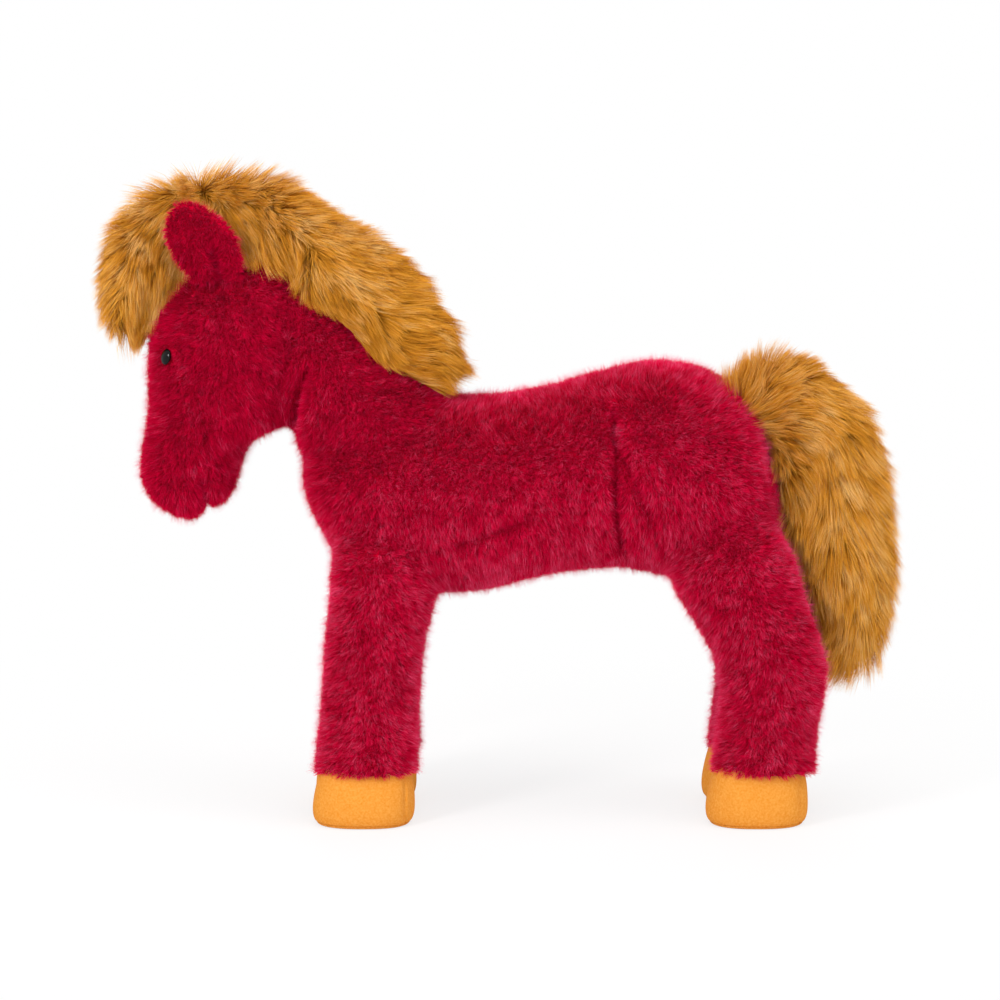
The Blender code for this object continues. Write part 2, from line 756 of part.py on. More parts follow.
# Guide solids shared by several pieces
ahead_low = (-HALF_SPACE, -HALF_SPACE, -HALF_SPACE)
ahead_high = (HEAD_SEAM_X + SEAM_GAP / 2, HALF_SPACE, HALF_SPACE)
ahead_of_seam = cutter("guide_ahead_of_seam", box_skin(ahead_low, ahead_high), neck_pivot)
behind_low = (HEAD_SEAM_X - SEAM_GAP / 2, -HALF_SPACE, -HALF_SPACE)
behind_high = (HALF_SPACE, HALF_SPACE, HALF_SPACE)
behind_seam = cutter("guide_behind_seam", box_skin(behind_low, behind_high), neck_pivot)
neck_room = cutter("guide_neck_socket", neck_socket())
tail_room = cutter(
    "guide_tail_socket",
    rod_skin(
        TAIL_HINGE - Vector((0, TAIL_ROOT_RADIUS + SIDE_GAP, 0)),
        TAIL_HINGE + Vector((0, TAIL_ROOT_RADIUS + SIDE_GAP, 0)),
        TAIL_ROOT_RADIUS + SWING_GAP,
        LIMB_SIDES,
    ),
)
LEGS = [
    (pair + "_" + hand, pair == "hind", side)
    for pair in ("front", "hind")
    for hand, side in (("left", -1), ("right", 1))
]
leg_rooms = [
    cutter("guide_socket_" + name, leg_socket(hind, side)) for name, hind, side in LEGS
]

# Torso pieces
torso_inside = cutter("guide_torso_inside", torso_skin(BODY_PLUSH))
rooms = [neck_room, tail_room, *leg_rooms]
piece("torso_cover", torso_skin(0), "plush", None, [torso_inside, *rooms])
piece("torso_stuffing", torso_skin(BODY_PLUSH + SEAM_GAP), "fibrefill", None, rooms)

# Neck pieces
neck_inside = cutter("guide_neck_inside", neck_skin(BODY_PLUSH, CORE_SIDES), neck_pivot)
piece("neck_cover", neck_skin(0), "plush", neck_pivot, [neck_inside, ahead_of_seam])
neck_core = neck_skin(BODY_PLUSH + SEAM_GAP, CORE_SIDES)
piece("neck_stuffing", neck_core, "fibrefill", neck_pivot, [ahead_of_seam])

# Mane: it sits on the neck and keeps clear of the back when the neck comes up
neck_room_for_mane = cutter("guide_neck_outside", neck_skin(-SEAM_GAP), neck_pivot)
withers = [
    cutter(
        "guide_withers_" + str(step),
        turned(torso_skin(-SEAM_GAP), NECK_HINGE, "Y", -NECK_UP * step / 2),
        neck_pivot,
    )
    for step in range(3)
]
piece("mane", mane_skin(), "long_pile", neck_pivot, [neck_room_for_mane, ahead_of_seam, *withers])

# Head pieces
head_inside = cutter("guide_head_inside", head_skin(BODY_PLUSH, CORE_SIDES), head_pivot)
mouth_centre = CROWN + HEAD_LINE * MOUTH_ALONG_SHARE * HEAD_LENGTH
mouth_centre += HEAD_BACK * MOUTH_BEHIND_SHARE * HEAD_DEPTH
mouth_reach = Vector((MOUTH_DEPTH, MOUTH_WIDTH, MOUTH_SLIT)) / 2
mouth_slit = cutter(
    "guide_mouth",
    turned(
        box_skin(mouth_centre - mouth_reach, mouth_centre + mouth_reach),
        mouth_centre,
        "Y",
        MOUTH_SLOPE,
    ),
    head_pivot,
)
ear_rooms = [
    cutter("guide_ear_" + hand, ear_slot(side), head_pivot)
    for hand, side in (("left", -1), ("right", 1))
]
shank_rooms = []
washer_rooms = []
for hand, side in (("left", -1), ("right", 1)):
    spot, look = eye_place(side)
    hole = rod_skin(
        spot + look * BODY_PLUSH, spot - look * 2 * BODY_PLUSH, SHANK_RADIUS + SEAM_GAP, EYE_SIDES
    )
    shank_rooms.append(cutter("guide_shank_" + hand, hole, head_pivot))
    seat = washer_pocket(side, BODY_PLUSH)
    shank_rooms.append(cutter("guide_washer_seat_" + hand, seat, head_pivot))
    washer_rooms.append(cutter("guide_washer_" + hand, washer_pocket(side, 0), head_pivot))
piece(
    "head_cover", head_skin(0), "plush", head_pivot,
    [head_inside, behind_seam, mouth_slit, *ear_rooms, *shank_rooms],
)
head_core = head_skin(BODY_PLUSH + SEAM_GAP, CORE_SIDES)
piece("head_stuffing", head_core, "fibrefill", head_pivot, [behind_seam, *ear_rooms, *washer_rooms])
head_room = cutter("guide_head_outside", head_skin(-SEAM_GAP), head_pivot)
piece("forelock", forelock_skin(), "long_pile", head_pivot, [head_room, behind_seam])
for hand, side in (("left", -1), ("right", 1)):
    spot, look = eye_place(side)
    piece("eye_" + hand, turned_skin(eye_profile(), spot, look, EYE_SIDES), "eye_gloss", head_pivot)
    piece(
        "eye_washer_" + hand, turned_skin(washer_profile(), spot, look, EYE_SIDES),
        "washer_plastic", head_pivot,
    )

# Ears
for hand, side in (("left", -1), ("right", 1)):
    ear_pivot = pivot("ear_hinge_" + hand, ear_root(side), head_pivot)
    piece("ear_back_" + hand, ear_skin(side, True), "plush", ear_pivot)
    piece("ear_lining_" + hand, ear_skin(side, False), "plush", ear_pivot)

# Tail
root = rod_skin(
    TAIL_HINGE - Vector((0, TAIL_ROOT_RADIUS, 0)), TAIL_HINGE + Vector((0, TAIL_ROOT_RADIUS, 0)),
    TAIL_ROOT_RADIUS, LIMB_SIDES,
)
tail_inside = cutter("guide_tail_inside", tail_core_skin(0), tail_pivot)
tail_root_room = cutter(
    "guide_tail_root",
    rod_skin(
        TAIL_HINGE - Vector((0, TAIL_ROOT_RADIUS + SEAM_GAP, 0)),
        TAIL_HINGE + Vector((0, TAIL_ROOT_RADIUS + SEAM_GAP, 0)),
        TAIL_ROOT_RADIUS + SEAM_GAP,
        LIMB_SIDES,
    ),
    tail_pivot,
)
rumps = [
    cutter(
        "guide_rump_" + str(step),
        turned(torso_skin(-SEAM_GAP), TAIL_HINGE, "Y", TAIL_LIFT * step / 2),
        tail_pivot,
    )
    for step in range(3)
]
piece("tail_cover", tail_skin(), "long_pile", tail_pivot, [tail_inside, tail_root_room, *rumps])
tail_core = piece("tail_stuffing", tail_core_skin(SEAM_GAP), "fibrefill", tail_pivot, rumps)
root_guide = cutter("guide_tail_tab", root, tail_pivot)
join = tail_core.modifiers.new("tab", "BOOLEAN")
join.operation = "UNION"
join.solver = "EXACT"
join.object = root_guide

# Legs and hoofs
for name, hind, side in LEGS:
    hinge_x = leg_parts(hind)[0]
    leg_pivot = pivot("hinge_" + name, Vector((hinge_x, leg_line(0, side), HINGE_Z)))
    inside = leg_rings(hind, side, BODY_PLUSH, CORE_SIDES)
    inside.append(inside[-1] - np.array((0, 0, OVERRUN)))
    leg_hollow = cutter("guide_leg_inside_" + name, loft(inside), leg_pivot)
    piece("leg_cover_" + name, loft(leg_rings(hind, side, 0)), "plush", leg_pivot, [leg_hollow])
    wall_base = SOLE_SUEDE + SEAM_GAP
    outside = hoof_rings(hind, side, HOOF_SHARES, HOOF_HEIGHT, 0)
    outside[0][:, 2] = wall_base
    outside[-1][:, 2] = HOOF_HEIGHT - SEAM_GAP
    hollow = hoof_rings(hind, side, HOOF_SHARES, HOOF_HEIGHT, HOOF_SUEDE)
    hollow[0][:, 2] = wall_base - OVERRUN
    hollow[-1][:, 2] = HOOF_HEIGHT + OVERRUN
    hoof_hollow = cutter("guide_hoof_inside_" + name, loft(hollow), leg_pivot)
    piece("hoof_" + name, loft(outside), "suede", leg_pivot, [hoof_hollow])
    sole = hoof_rings(hind, side, SOLE_SHARES, SOLE_SUEDE, 0)
    piece("sole_" + name, loft(sole), "suede", leg_pivot)
    board_size = HOOF_SHARES[0][1]
    board = hoof_rings(
        hind, side, ((0, board_size), (1, board_size)), SOLE_BOARD, HOOF_SUEDE + SEAM_GAP, wall_base
    )
    piece("sole_board_" + name, loft(board), "board", leg_pivot)
    core = leg_rings(hind, side, BODY_PLUSH + SEAM_GAP, CORE_SIDES)[:-1]
    top_size = HOOF_SHARES[-1][1]
    core += hoof_rings(
        hind, side, ((1, top_size), (0, top_size)), HOOF_HEIGHT, HOOF_SUEDE + BODY_PLUSH, 0, CORE_SIDES
    )
    core[-1][:, 2] = wall_base + SOLE_BOARD + SEAM_GAP
    piece("leg_stuffing_" + name, loft(core), "fibrefill", leg_pivot)
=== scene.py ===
# %% [markdown]
# # A plush horse, sewn and furred
#
# A soft toy is a few cloth shapes, sewn inside out, turned and stuffed. What the eye sees is
# mostly pile: thousands of short fibres that stand on the cloth. This lesson first makes the
# stuffed skin, then plants the pile on it fibre by fibre, then adds hoofs, ears and eyes.

# %% Load the fixed frame
import json
import math

import bmesh
import bpy
import numpy as np
from mathutils import Matrix, Vector
from mathutils.bvhtree import BVHTree
from mathutils.kdtree import KDTree


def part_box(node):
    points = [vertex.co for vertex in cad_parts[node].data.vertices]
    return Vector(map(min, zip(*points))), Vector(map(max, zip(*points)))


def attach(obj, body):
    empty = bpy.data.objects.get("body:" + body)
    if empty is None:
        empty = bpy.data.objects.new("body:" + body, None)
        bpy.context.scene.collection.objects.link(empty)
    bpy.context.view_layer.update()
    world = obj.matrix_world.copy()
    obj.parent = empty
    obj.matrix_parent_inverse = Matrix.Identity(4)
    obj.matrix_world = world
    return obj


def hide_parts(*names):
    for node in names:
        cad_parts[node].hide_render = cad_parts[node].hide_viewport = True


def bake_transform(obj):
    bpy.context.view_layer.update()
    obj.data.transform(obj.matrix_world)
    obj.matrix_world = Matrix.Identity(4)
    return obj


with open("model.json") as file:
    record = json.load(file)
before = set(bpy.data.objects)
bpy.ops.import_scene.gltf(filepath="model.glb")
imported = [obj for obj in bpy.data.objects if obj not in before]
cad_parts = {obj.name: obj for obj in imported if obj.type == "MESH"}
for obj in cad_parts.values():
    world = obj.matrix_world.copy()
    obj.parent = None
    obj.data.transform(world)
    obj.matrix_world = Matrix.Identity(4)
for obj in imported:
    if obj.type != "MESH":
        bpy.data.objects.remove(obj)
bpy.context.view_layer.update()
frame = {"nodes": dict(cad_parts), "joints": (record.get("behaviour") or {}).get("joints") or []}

MM = 0.001
joints = {joint["name"]: Vector(joint["pos_m"]) for joint in frame["joints"]}
LEGS = ("front_left", "front_right", "hind_left", "hind_right")
HEM = 22.5 * MM

# %% [markdown]
# ## The camera
#
# A long lens from far away keeps a toy's proportions. The view is level with the toy's side and
# looks a little down on it, which is why the far hind hoof peeps out beside the near one.

# %% Camera
CAMERA_DISTANCE = 2.5
CAMERA_HEIGHT = math.radians(9.0)
FRAME_WIDTH = 420 * MM
SENSOR_MM = 36
aim = Vector((1.2, 0, 132.2)) * MM
camera = bpy.data.objects.new("camera", bpy.data.cameras.new("camera"))
camera.data.sensor_width = SENSOR_MM
camera.data.lens = SENSOR_MM * CAMERA_DISTANCE / FRAME_WIDTH
camera.data.clip_end = 50
back_off = Vector((0, -math.cos(CAMERA_HEIGHT), math.sin(CAMERA_HEIGHT)))
camera.location = aim + CAMERA_DISTANCE * back_off
camera.rotation_euler = (math.pi / 2 - CAMERA_HEIGHT, 0, 0)
bpy.context.scene.collection.objects.link(camera)
bpy.context.scene.camera = camera
bpy.context.scene.view_settings.view_transform = "Standard"
print("lens mm", round(camera.data.lens))

# %% [markdown]
# ## Colours and one helper for nodes
#
# Colours are picked as screen hex values, so they are turned to linear light before a shader
# reads them. One function adds a node with its settings and links.

# %% Colour and node helpers
def linear(hexes):
    """Linear colour from a screen hex value."""
    channels = [int(hexes[k:k + 2], 16) / 255 for k in (0, 2, 4)]
    return [c / 12.92 if c <= 0.04045 else ((c + 0.055) / 1.055) ** 2.4 for c in channels] + [1]


def node(tree, kind, settings=None, **inputs):
    """Add a node. Settings are its own values; inputs are values or sockets, by name or _number."""
    made = tree.nodes.new(kind)
    for key, value in (settings or {}).items():
        setattr(made, key, value)
    for key, value in inputs.items():
        place = int(key[1:]) if key[1:].isdigit() else key.replace("_", " ")
        socket = made.inputs[place]
        if isinstance(value, bpy.types.NodeSocket):
            tree.links.new(value, socket)
        else:
            socket.default_value = value
    return made


def ramp(tree, factor, stops):
    """Colour ramp from (place, hex) stops."""
    made = node(tree, "ShaderNodeValToRGB", Fac=factor)
    elements = made.color_ramp.elements
    while len(elements) < len(stops):
        elements.new(0.5)
    for element, (place, hexes) in zip(elements, stops):
        element.position = place
        element.color = linear(hexes)
    return made.outputs[0]


def finish(name):
    """New material, with its node tree and its shader."""
    made = bpy.data.materials.new(name)
    made.use_nodes = True
    return made, made.node_tree, made.node_tree.nodes["Principled BSDF"]


# %% [markdown]
# ## Pile fibres
#
# Polyester plush fibre is dyed through. Its colour is painted darker at its root, as painted
# shade from its neighbours, and paler at its brushed tip. Each fibre's own map carries its tint
# across and its length upwards, so one small ramp colours the whole coat and the colour can't
# slide.

# %% Fibre materials
def fibre(name, tints, root_shade, roughness, sheen, glow):
    """Fibre that takes its colour from its own map, with painted shade at its root; its sheen glows
    at grazing angles.
    """
    made, tree, shader = finish(name)
    spot = node(tree, "ShaderNodeUVMap", {"uv_map": "OFBake"}).outputs[0]
    split = node(tree, "ShaderNodeSeparateXYZ", Vector=spot)
    tint = ramp(tree, split.outputs[0], tints)
    depth = ramp(tree, split.outputs[1], root_shade)
    mixed = node(
        tree, "ShaderNodeMix", {"data_type": "RGBA", "blend_type": "MULTIPLY"},
        _0=1.0, _6=tint, _7=depth,
    )
    tree.links.new(mixed.outputs[2], shader.inputs["Base Color"])
    shader.inputs["Roughness"].default_value = roughness
    shader.inputs["Specular IOR Level"].default_value = 0.04
    shader.inputs["Sheen Weight"].default_value = sheen
    shader.inputs["Sheen Roughness"].default_value = 0.35
    shader.inputs["Sheen Tint"].default_value = linear(glow)
    return made


# Matt crimson plush: painted shade makes it deep between the fibres; its sheen is rosy where the
# light grazes the coat.
crimson_pile = fibre(
    "polyester_plush_pile_crimson",
    ((0.0, "b8002c"), (0.25, "cc0034"), (0.6, "e40040"), (0.8, "ee2258"), (1.0, "f65884")),
    ((0.0, "d0d0d0"), (0.5, "f6f6f6"), (1.0, "ffffff")),
    0.9, 0.35, "ff5a90",
)
# Mustard hair: smoother, so that its locks catch soft lights along their length.
gold_pile = fibre(
    "polyester_long_pile_gold",
    ((0.0, "be7a1c"), (0.5, "efa936"), (1.0, "fdd284")),
    ((0.0, "bcb0a2"), (0.4, "e8e4de"), (1.0, "ffffff")),
    0.65, 0.1, "ffc860",
)
print("fibre materials made")

# %% [markdown]
# ## Cloth under the pile
#
# Between the fibres the knitted backing shows, dyed like the pile, with painted shade that makes
# it darker, as in shadow. It gets a fine mottled grain, drawn coarser than the real knit so that it
# shows at all.

# %% Backing materials
def backing(name, dark, pale, grain_mm):
    """Matt cloth with a mottled grain of a set size."""
    made, tree, shader = finish(name)
    spot = node(tree, "ShaderNodeTexCoord").outputs["Object"]
    grain = node(tree, "ShaderNodeTexNoise", Vector=spot, Scale=1 / (grain_mm * MM), Detail=3.0)
    colour = ramp(tree, grain.outputs[0], ((0.3, dark), (0.7, pale)))
    bump = node(
        tree, "ShaderNodeBump", Strength=0.6, Distance=0.4 * MM, Height=grain.outputs[0]
    )
    tree.links.new(colour, shader.inputs["Base Color"])
    tree.links.new(bump.outputs[0], shader.inputs["Normal"])
    shader.inputs["Roughness"].default_value = 0.9
    shader.inputs["Specular IOR Level"].default_value = 0.04
    return made


# The knits are painted darker, as painted shade in the gaps of the pile; the suede shows, as a soft
# brushed orange nap.
crimson_knit = backing("knitted_backing_crimson", "bc002a", "d80034", 1.2)
gold_knit = backing("knitted_backing_gold", "8a5a16", "b07822", 1.6)
hoof_suede = backing("microsuede_orange", "d88628", "e29c46", 0.9)


# %% [markdown]
# ## One skin out of many solids
#
# The frame holds separate solids with gaps at their joints. Sewn cloth has none, so the solids
# are grown until the gaps close, fused by a voxel remesh and shrunk again, to a pile's depth
# inside the outline. That is how a stuffed form keeps soft hollows where limbs meet.

# %% Helpers for meshes
def on_stage(name, mesh, *materials):
    """New object in the scene, at the origin."""
    thing = bpy.data.objects.new(name, mesh)
    bpy.context.scene.collection.objects.link(thing)
    for material in materials:
        mesh.materials.append(material)
    return thing


def settled(thing, *modifiers):
    """Add modifiers to an object, apply them and return the new mesh."""
    for kind, settings in modifiers:
        added = thing.modifiers.new(kind.lower(), kind)
        for key, value in settings.items():
            setattr(added, key, value)
    graph = bpy.context.evaluated_depsgraph_get()
    mesh = bpy.data.meshes.new_from_object(thing.evaluated_get(graph))
    bpy.data.objects.remove(thing)
    return mesh


def largest_island(mesh):
    """Keep the biggest connected shell of a mesh."""
    shape = bmesh.new()
    shape.from_mesh(mesh)
    shape.verts.index_update()
    unseen = set(shape.verts)
    best = []
    while unseen:
        island = [unseen.pop()]
        for vert in island:
            for edge in vert.link_edges:
                other = edge.other_vert(vert)
                if other in unseen:
                    unseen.remove(other)
                    island.append(other)
        best = max(best, island, key=len)
    keep = set(best)
    bmesh.ops.delete(shape, geom=[v for v in shape.verts if v not in keep], context="VERTS")
    return shape


def felted(names, voxel, close, inset, rounds, balls=()):
    """Fuse CAD solids, and balls of (centre, radius), to one skin a set depth inside them."""
    shape = bmesh.new()
    for centre, radius in balls:
        place = Matrix.Translation(Vector(centre) * MM)
        bmesh.ops.create_icosphere(shape, subdivisions=3, radius=radius * MM, matrix=place)
    for name in names:
        shape.from_mesh(frame["nodes"][name].data)
    bmesh.ops.remove_doubles(shape, verts=shape.verts, dist=0.01 * MM)
    mesh = bpy.data.meshes.new("felt")
    shape.to_mesh(mesh)
    shape.free()
    thing = on_stage("felt", mesh)
    mesh = settled(
        thing,
        ("DISPLACE", {"strength": close, "mid_level": 0}),
        ("REMESH", {"mode": "VOXEL", "voxel_size": voxel}),
        ("SMOOTH", {"factor": 0.5, "iterations": 6}),
        ("DISPLACE", {"strength": -close - inset / 2, "mid_level": 0}),
    )
    mesh = settled(
        on_stage("felt", mesh),
        ("REMESH", {"mode": "VOXEL", "voxel_size": voxel}),
        ("SMOOTH", {"factor": 0.5, "iterations": rounds}),
        ("DISPLACE", {"strength": -inset / 2, "mid_level": 0}),
        ("SMOOTH", {"factor": 0.5, "iterations": 4}),
    )
    return largest_island(mesh)


# %% Body skin
PILE_DEPTH = 2.4 * MM
VOXEL = 2.0 * MM
hidden = {part: [part + "_cover", part + "_stuffing"] for part in ("torso", "neck", "head")}
body_nodes = sum(hidden.values(), [])
for leg in LEGS:
    hidden["leg_" + leg] = ["leg_cover_" + leg, "leg_stuffing_" + leg]
    body_nodes += hidden["leg_" + leg] + [kind + leg for kind in ("hoof_", "sole_", "sole_board_")]
skin = felted(body_nodes, VOXEL, 2.2 * MM, PILE_DEPTH, 14)
print("body skin", len(skin.verts), "points")


# %% [markdown]
# ## Seams and darts
#
# A seam pulls the cloth in along a line, deepest on the stitches. Each is a short run of points
# on the toy's side; the skin there moves inwards by a bell-shaped amount.

# %% Press the seams in
def run_distance(places, run):
    """Distance in side view from each place to a run of (x, z) mm points."""
    flat = places[:, [0, 2]]
    best = np.full(len(places), 1.0)
    for start, stop in zip(run, run[1:]):
        a, b = np.array(start) * MM, np.array(stop) * MM
        share = np.clip((flat - a) @ (b - a) / ((b - a) @ (b - a)), 0, 1)[:, None]
        best = np.minimum(best, np.linalg.norm(flat - a - (b - a) * share, axis=1))
    return best


SEAMS = (
    # run of (x, z) mm, depth mm, half-width mm, least distance from the middle mm
    (((-85, 160), (-84, 168), (-82, 178), (-79, 190)), 4.0, 2.4, 6),
    (((51.0, 118), (49.0, 136), (48.4, 171)), 3.4, 2.9, 10),
    (((49, 166), (52, 156), (57, 146), (64, 130)), 1.8, 2.4, 20),
    (((-17, 120), (-2, 125), (12, 130)), 2.0, 2.6, 20),
    (((-123.5, 144), (-122.5, 135), (-121.5, 122)), 6.0, 1.7, 0),
)
SWELLS = (
    # centre (x, z) mm, radius mm, push (x, z) mm
    ((-113, 137), 8, (1.5, -2.0)), ((-106, 149), 10, (1.2, -0.6)), ((-15, 95), 18, (0, -2.0)),
    ((68, 98), 12, (0, -3.0)), ((56, 190), 25, (0, 1.6)), ((6, 182), 18, (0, -1.5)),
    ((121, 128), 20, (-3.5, 0)), ((108, 171), 12, (2.5, 1.0)), ((-150, 143), 16, (-1.8, -0.6)),
    ((-131, 128), 12, (0, -1.6)), ((-110, 130), 6, (3.0, 0)),
)


def at(thing_verts, what):
    """One value of every vertex, as an array."""
    return np.array([getattr(vert, what) for vert in thing_verts])


skin.normal_update()
places, outward = at(skin.verts, "co"), at(skin.verts, "normal")
move = np.zeros_like(places)
for run, depth, wide, middle in SEAMS:
    pull = depth * MM * np.exp(-((run_distance(places, run) / (wide * MM)) ** 2))
    move -= outward * (pull * (abs(places[:, 1]) >= middle * MM))[:, None]
for centre, radius, (dx, dz) in SWELLS:
    near = run_distance(places, (centre, (centre[0] + 0.01, centre[1]))) / (radius * MM)
    move += np.array([dx, 0, dz]) * MM * np.exp(-near * near)[:, None]
low = np.clip((48 * MM - places[:, 2]) / (24 * MM), 0, 1) ** 2
flare = low * (0.7 + 1.6 * np.clip(outward[:, 0], 0, 1)) * MM
move += outward * np.array([1, 1, 0]) * flare[:, None]
for vert, shift in zip(skin.verts, move):
    vert.co += Vector(shift)
skin.normal_update()
print("largest pull or push mm", round(float(np.linalg.norm(move, axis=1).max()) / MM, 1))

# %% [markdown]
# ## Where the cloth bends
#
# A sewn neck or leg has no hinge: cloth and stuffing give along a crease. So each panel is listed
# with its parent body and a span of a few centimetres from the parent into its own. The line where
# that starts is also where the skin is cut into panels.

# %% Bends
NECK_WAY = Vector((-0.724, 0, 0.69)).normalized()
HEAD_START = Vector((-83.5, 0, 163)) * MM
HEAD_WAY = Vector((-0.9, 0, 0.43)).normalized()
neck_hinge = joints["neck_nod"]
bends = {
    "neck": ("torso", neck_hinge - NECK_WAY * 8 * MM, neck_hinge + NECK_WAY * 34 * MM),
    "head": ("neck", HEAD_START, HEAD_START + HEAD_WAY * 18 * MM),
}
LEG_BEND = 42 * MM
LEG_CREASE = {"front": (Vector((-20, 0, 93)) * MM, Vector((-0.447, 0, -0.894))),
              "hind": (Vector((74, 0, 97)) * MM, Vector((0.447, 0, -0.894)))}
for leg in LEGS:
    place, way = LEG_CREASE[leg.split("_")[0]]
    bends["leg_" + leg] = ("torso", place, place + way * LEG_BEND)
CROTCH = 6 * MM
BETWEEN_LEGS = 25 * MM
ARCH = 88 * MM


def past(spot, body):
    """Whether a point lies past the line where a body's bend begins."""
    _, begin, stop = bends[body]
    return (spot - begin).dot(stop - begin) > 0


def panel_of(spot):
    """Name of the panel that holds a point of the body's skin."""
    if past(spot, "head"):
        return "head"
    if past(spot, "neck"):
        return "neck"
    side = "left" if spot.y < 0 else "right"
    for end in ("front", "hind"):
        near_end = spot.x < BETWEEN_LEGS if end == "front" else spot.x > BETWEEN_LEGS
        low = abs(spot.y) > CROTCH or spot.z < ARCH
        if near_end and low and past(spot, "leg_" + end + "_" + side):
            return "leg_" + end + "_" + side
    return "torso"


def carry(thing, body):
    """Let a piece ride on its body; a piece of a panel listed in bends only has its placement baked
    into its points.
    """
    if body in bends:
        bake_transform(thing)
    else:
        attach(thing, body)


# %% [markdown]
# ## Panels
#
# The cloth pieces of such a toy meet at the roots of its neck, head and legs. Planes cut the one
# skin there, so neighbours share the points of their edge and no gap opens when they bend.

# %% Cut the skin into its panels
cuts = [(begin, stop - begin, False) for _, begin, stop in bends.values()]
cuts += [(Vector((0, side * CROTCH, 0)), Vector((0, 1, 0)), False) for side in (-1, 1)]
cuts += [(Vector((0, 0, HEM)), Vector((0, 0, -1)), True)]
for place, way, clear in cuts:
    bmesh.ops.bisect_plane(
        skin, geom=skin.verts[:] + skin.edges[:] + skin.faces[:], dist=0.05 * MM,
        plane_co=place, plane_no=way, clear_outer=clear,
    )


def panel(name, shape, source, material):
    """Object from the faces of one panel."""
    part = shape.copy()
    drop = [face for face in part.faces if panel_of(face.calc_center_median()) != source]
    bmesh.ops.delete(part, geom=drop, context="FACES")
    mesh = bpy.data.meshes.new(name)
    part.to_mesh(mesh)
    part.free()
    mesh.shade_smooth()
    return on_stage(name, mesh, material)


panels = {}
for source, nodes in hidden.items():
    thing = panel(source + "_skin", skin, source, crimson_knit)
    panels[source] = thing
    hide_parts(*nodes)
    print(source, len(thing.data.polygons), "faces")

# %% [markdown]
# ## Planting fibres
#
# A fibre is a thin ribbon that tapers to its tip. Roots are scattered evenly over a skin, each
# fibre takes the lie of the pile at its root, and neighbours lean together in small tufts. A
# coat has up to some hundred thousand loose ribbons and no operator plants those, so numpy
# lays out their points and faces in one go.

# %% Fibre helpers
def spots_on(thing, per_mm2, seed):
    """Even random spots on a mesh: places and outward ways."""
    rng = np.random.default_rng(seed)
    mesh = thing.data
    mesh.calc_loop_triangles()
    corners = np.empty(len(mesh.loop_triangles) * 3, np.int32)
    mesh.loop_triangles.foreach_get("vertices", corners)
    corners = corners.reshape(-1, 3)
    places = np.empty(len(mesh.vertices) * 3)
    mesh.vertices.foreach_get("co", places)
    places = places.reshape(-1, 3)
    ways = np.empty(len(mesh.vertices) * 3)
    mesh.vertices.foreach_get("normal", ways)
    ways = ways.reshape(-1, 3)
    a, b, c = (places[corners[:, k]] for k in range(3))
    area = np.linalg.norm(np.cross(b - a, c - a), axis=1) / 2
    count = int(area.sum() / MM**2 * per_mm2 * (1))
    pick = rng.choice(len(corners), count, p=area / area.sum())
    u, v = rng.random((2, count))
    flip = u + v > 1
    u[flip], v[flip] = 1 - u[flip], 1 - v[flip]
    share = np.stack([1 - u - v, u, v], axis=1)[:, :, None]
    spot = (places[corners[pick]] * share).sum(1)
    way = unit((ways[corners[pick]] * share).sum(1))
    return spot, way, rng


def unit(rows):
    """Rows scaled to length 1."""
    return rows / np.maximum(np.linalg.norm(rows, axis=-1, keepdims=True), 1e-9)


def ripple(places, size, seed):
    """Smooth random field between about -1 and 1, with swells of a set size."""
    rng = np.random.default_rng(seed)
    total = np.zeros(len(places))
    for _ in range(7):
        wave = unit(rng.normal(size=3)) * 2 * math.pi / (size * rng.uniform(0.7, 1.5))
        total += np.sin(places @ wave + rng.uniform(0, 2 * math.pi))
    return total / 3


def tufted(places, size, rng):
    """Index of the leading fibre of each fibre's tuft."""
    count = max(1, int(len(places) / max(1, size)))
    leaders = rng.choice(len(places), count, replace=False)
    tree = KDTree(count)
    for k, index in enumerate(leaders):
        tree.insert(places[index], k)
    tree.balance()
    return np.array([leaders[tree.find(place)[1]] for place in places])


def fibres(name, paths, ways, widths, tints, rng, material):
    """Mesh of flat pointed fibres along paths: an array of fibres by points by XYZ."""
    count, points, _ = paths.shape
    along = np.gradient(paths, axis=1)[:, :-1]
    face = unit(ways + 0.45 * rng.normal(size=ways.shape))[:, None, :]
    rows = points - 1
    taper = np.linspace(1, 0, points)[:-1] ** 0.6
    reach = unit(np.cross(along, face)) * (widths[:, None] * taper[None])[:, :, None] / 2
    body = np.stack([paths[:, :-1] - reach, paths[:, :-1] + reach], axis=2)
    verts = np.concatenate([body.reshape(count, rows * 2, 3), paths[:, -1:]], axis=1)
    tip = rows * 2
    pattern = []
    for low in range(0, tip - 2, 2):
        pattern += [(low, low + 1, low + 2), (low + 1, low + 3, low + 2)]
    pattern.append((tip - 2, tip - 1, tip))
    faces = (np.array(pattern)[None] + np.arange(count)[:, None, None] * (tip + 1)).reshape(-1, 3)
    mesh = bpy.data.meshes.new(name)
    mesh.vertices.add(count * (tip + 1))
    mesh.vertices.foreach_set("co", verts.astype(np.float32).ravel())
    mesh.loops.add(faces.size)
    mesh.loops.foreach_set("vertex_index", faces.astype(np.int32).ravel())
    mesh.polygons.add(len(faces))
    mesh.polygons.foreach_set("loop_start", np.arange(0, faces.size, 3, dtype=np.int32))
    mesh.update(calc_edges=True)
    height = np.concatenate([np.repeat(np.linspace(0, 1, points)[:-1], 2), [1]])
    u = np.repeat(np.clip(tints, 0.01, 0.99), tip + 1)
    v = np.tile(height * 0.98 + 0.01, count)
    layer = mesh.uv_layers.new(name="OFBake")
    layer.data.foreach_set("uv", np.stack([u, v], axis=1)[faces.ravel()].astype(np.float32).ravel())
    mesh.shade_smooth()
    print(name, count, "fibres", len(faces), "triangles")
    return on_stage(name, mesh, material)


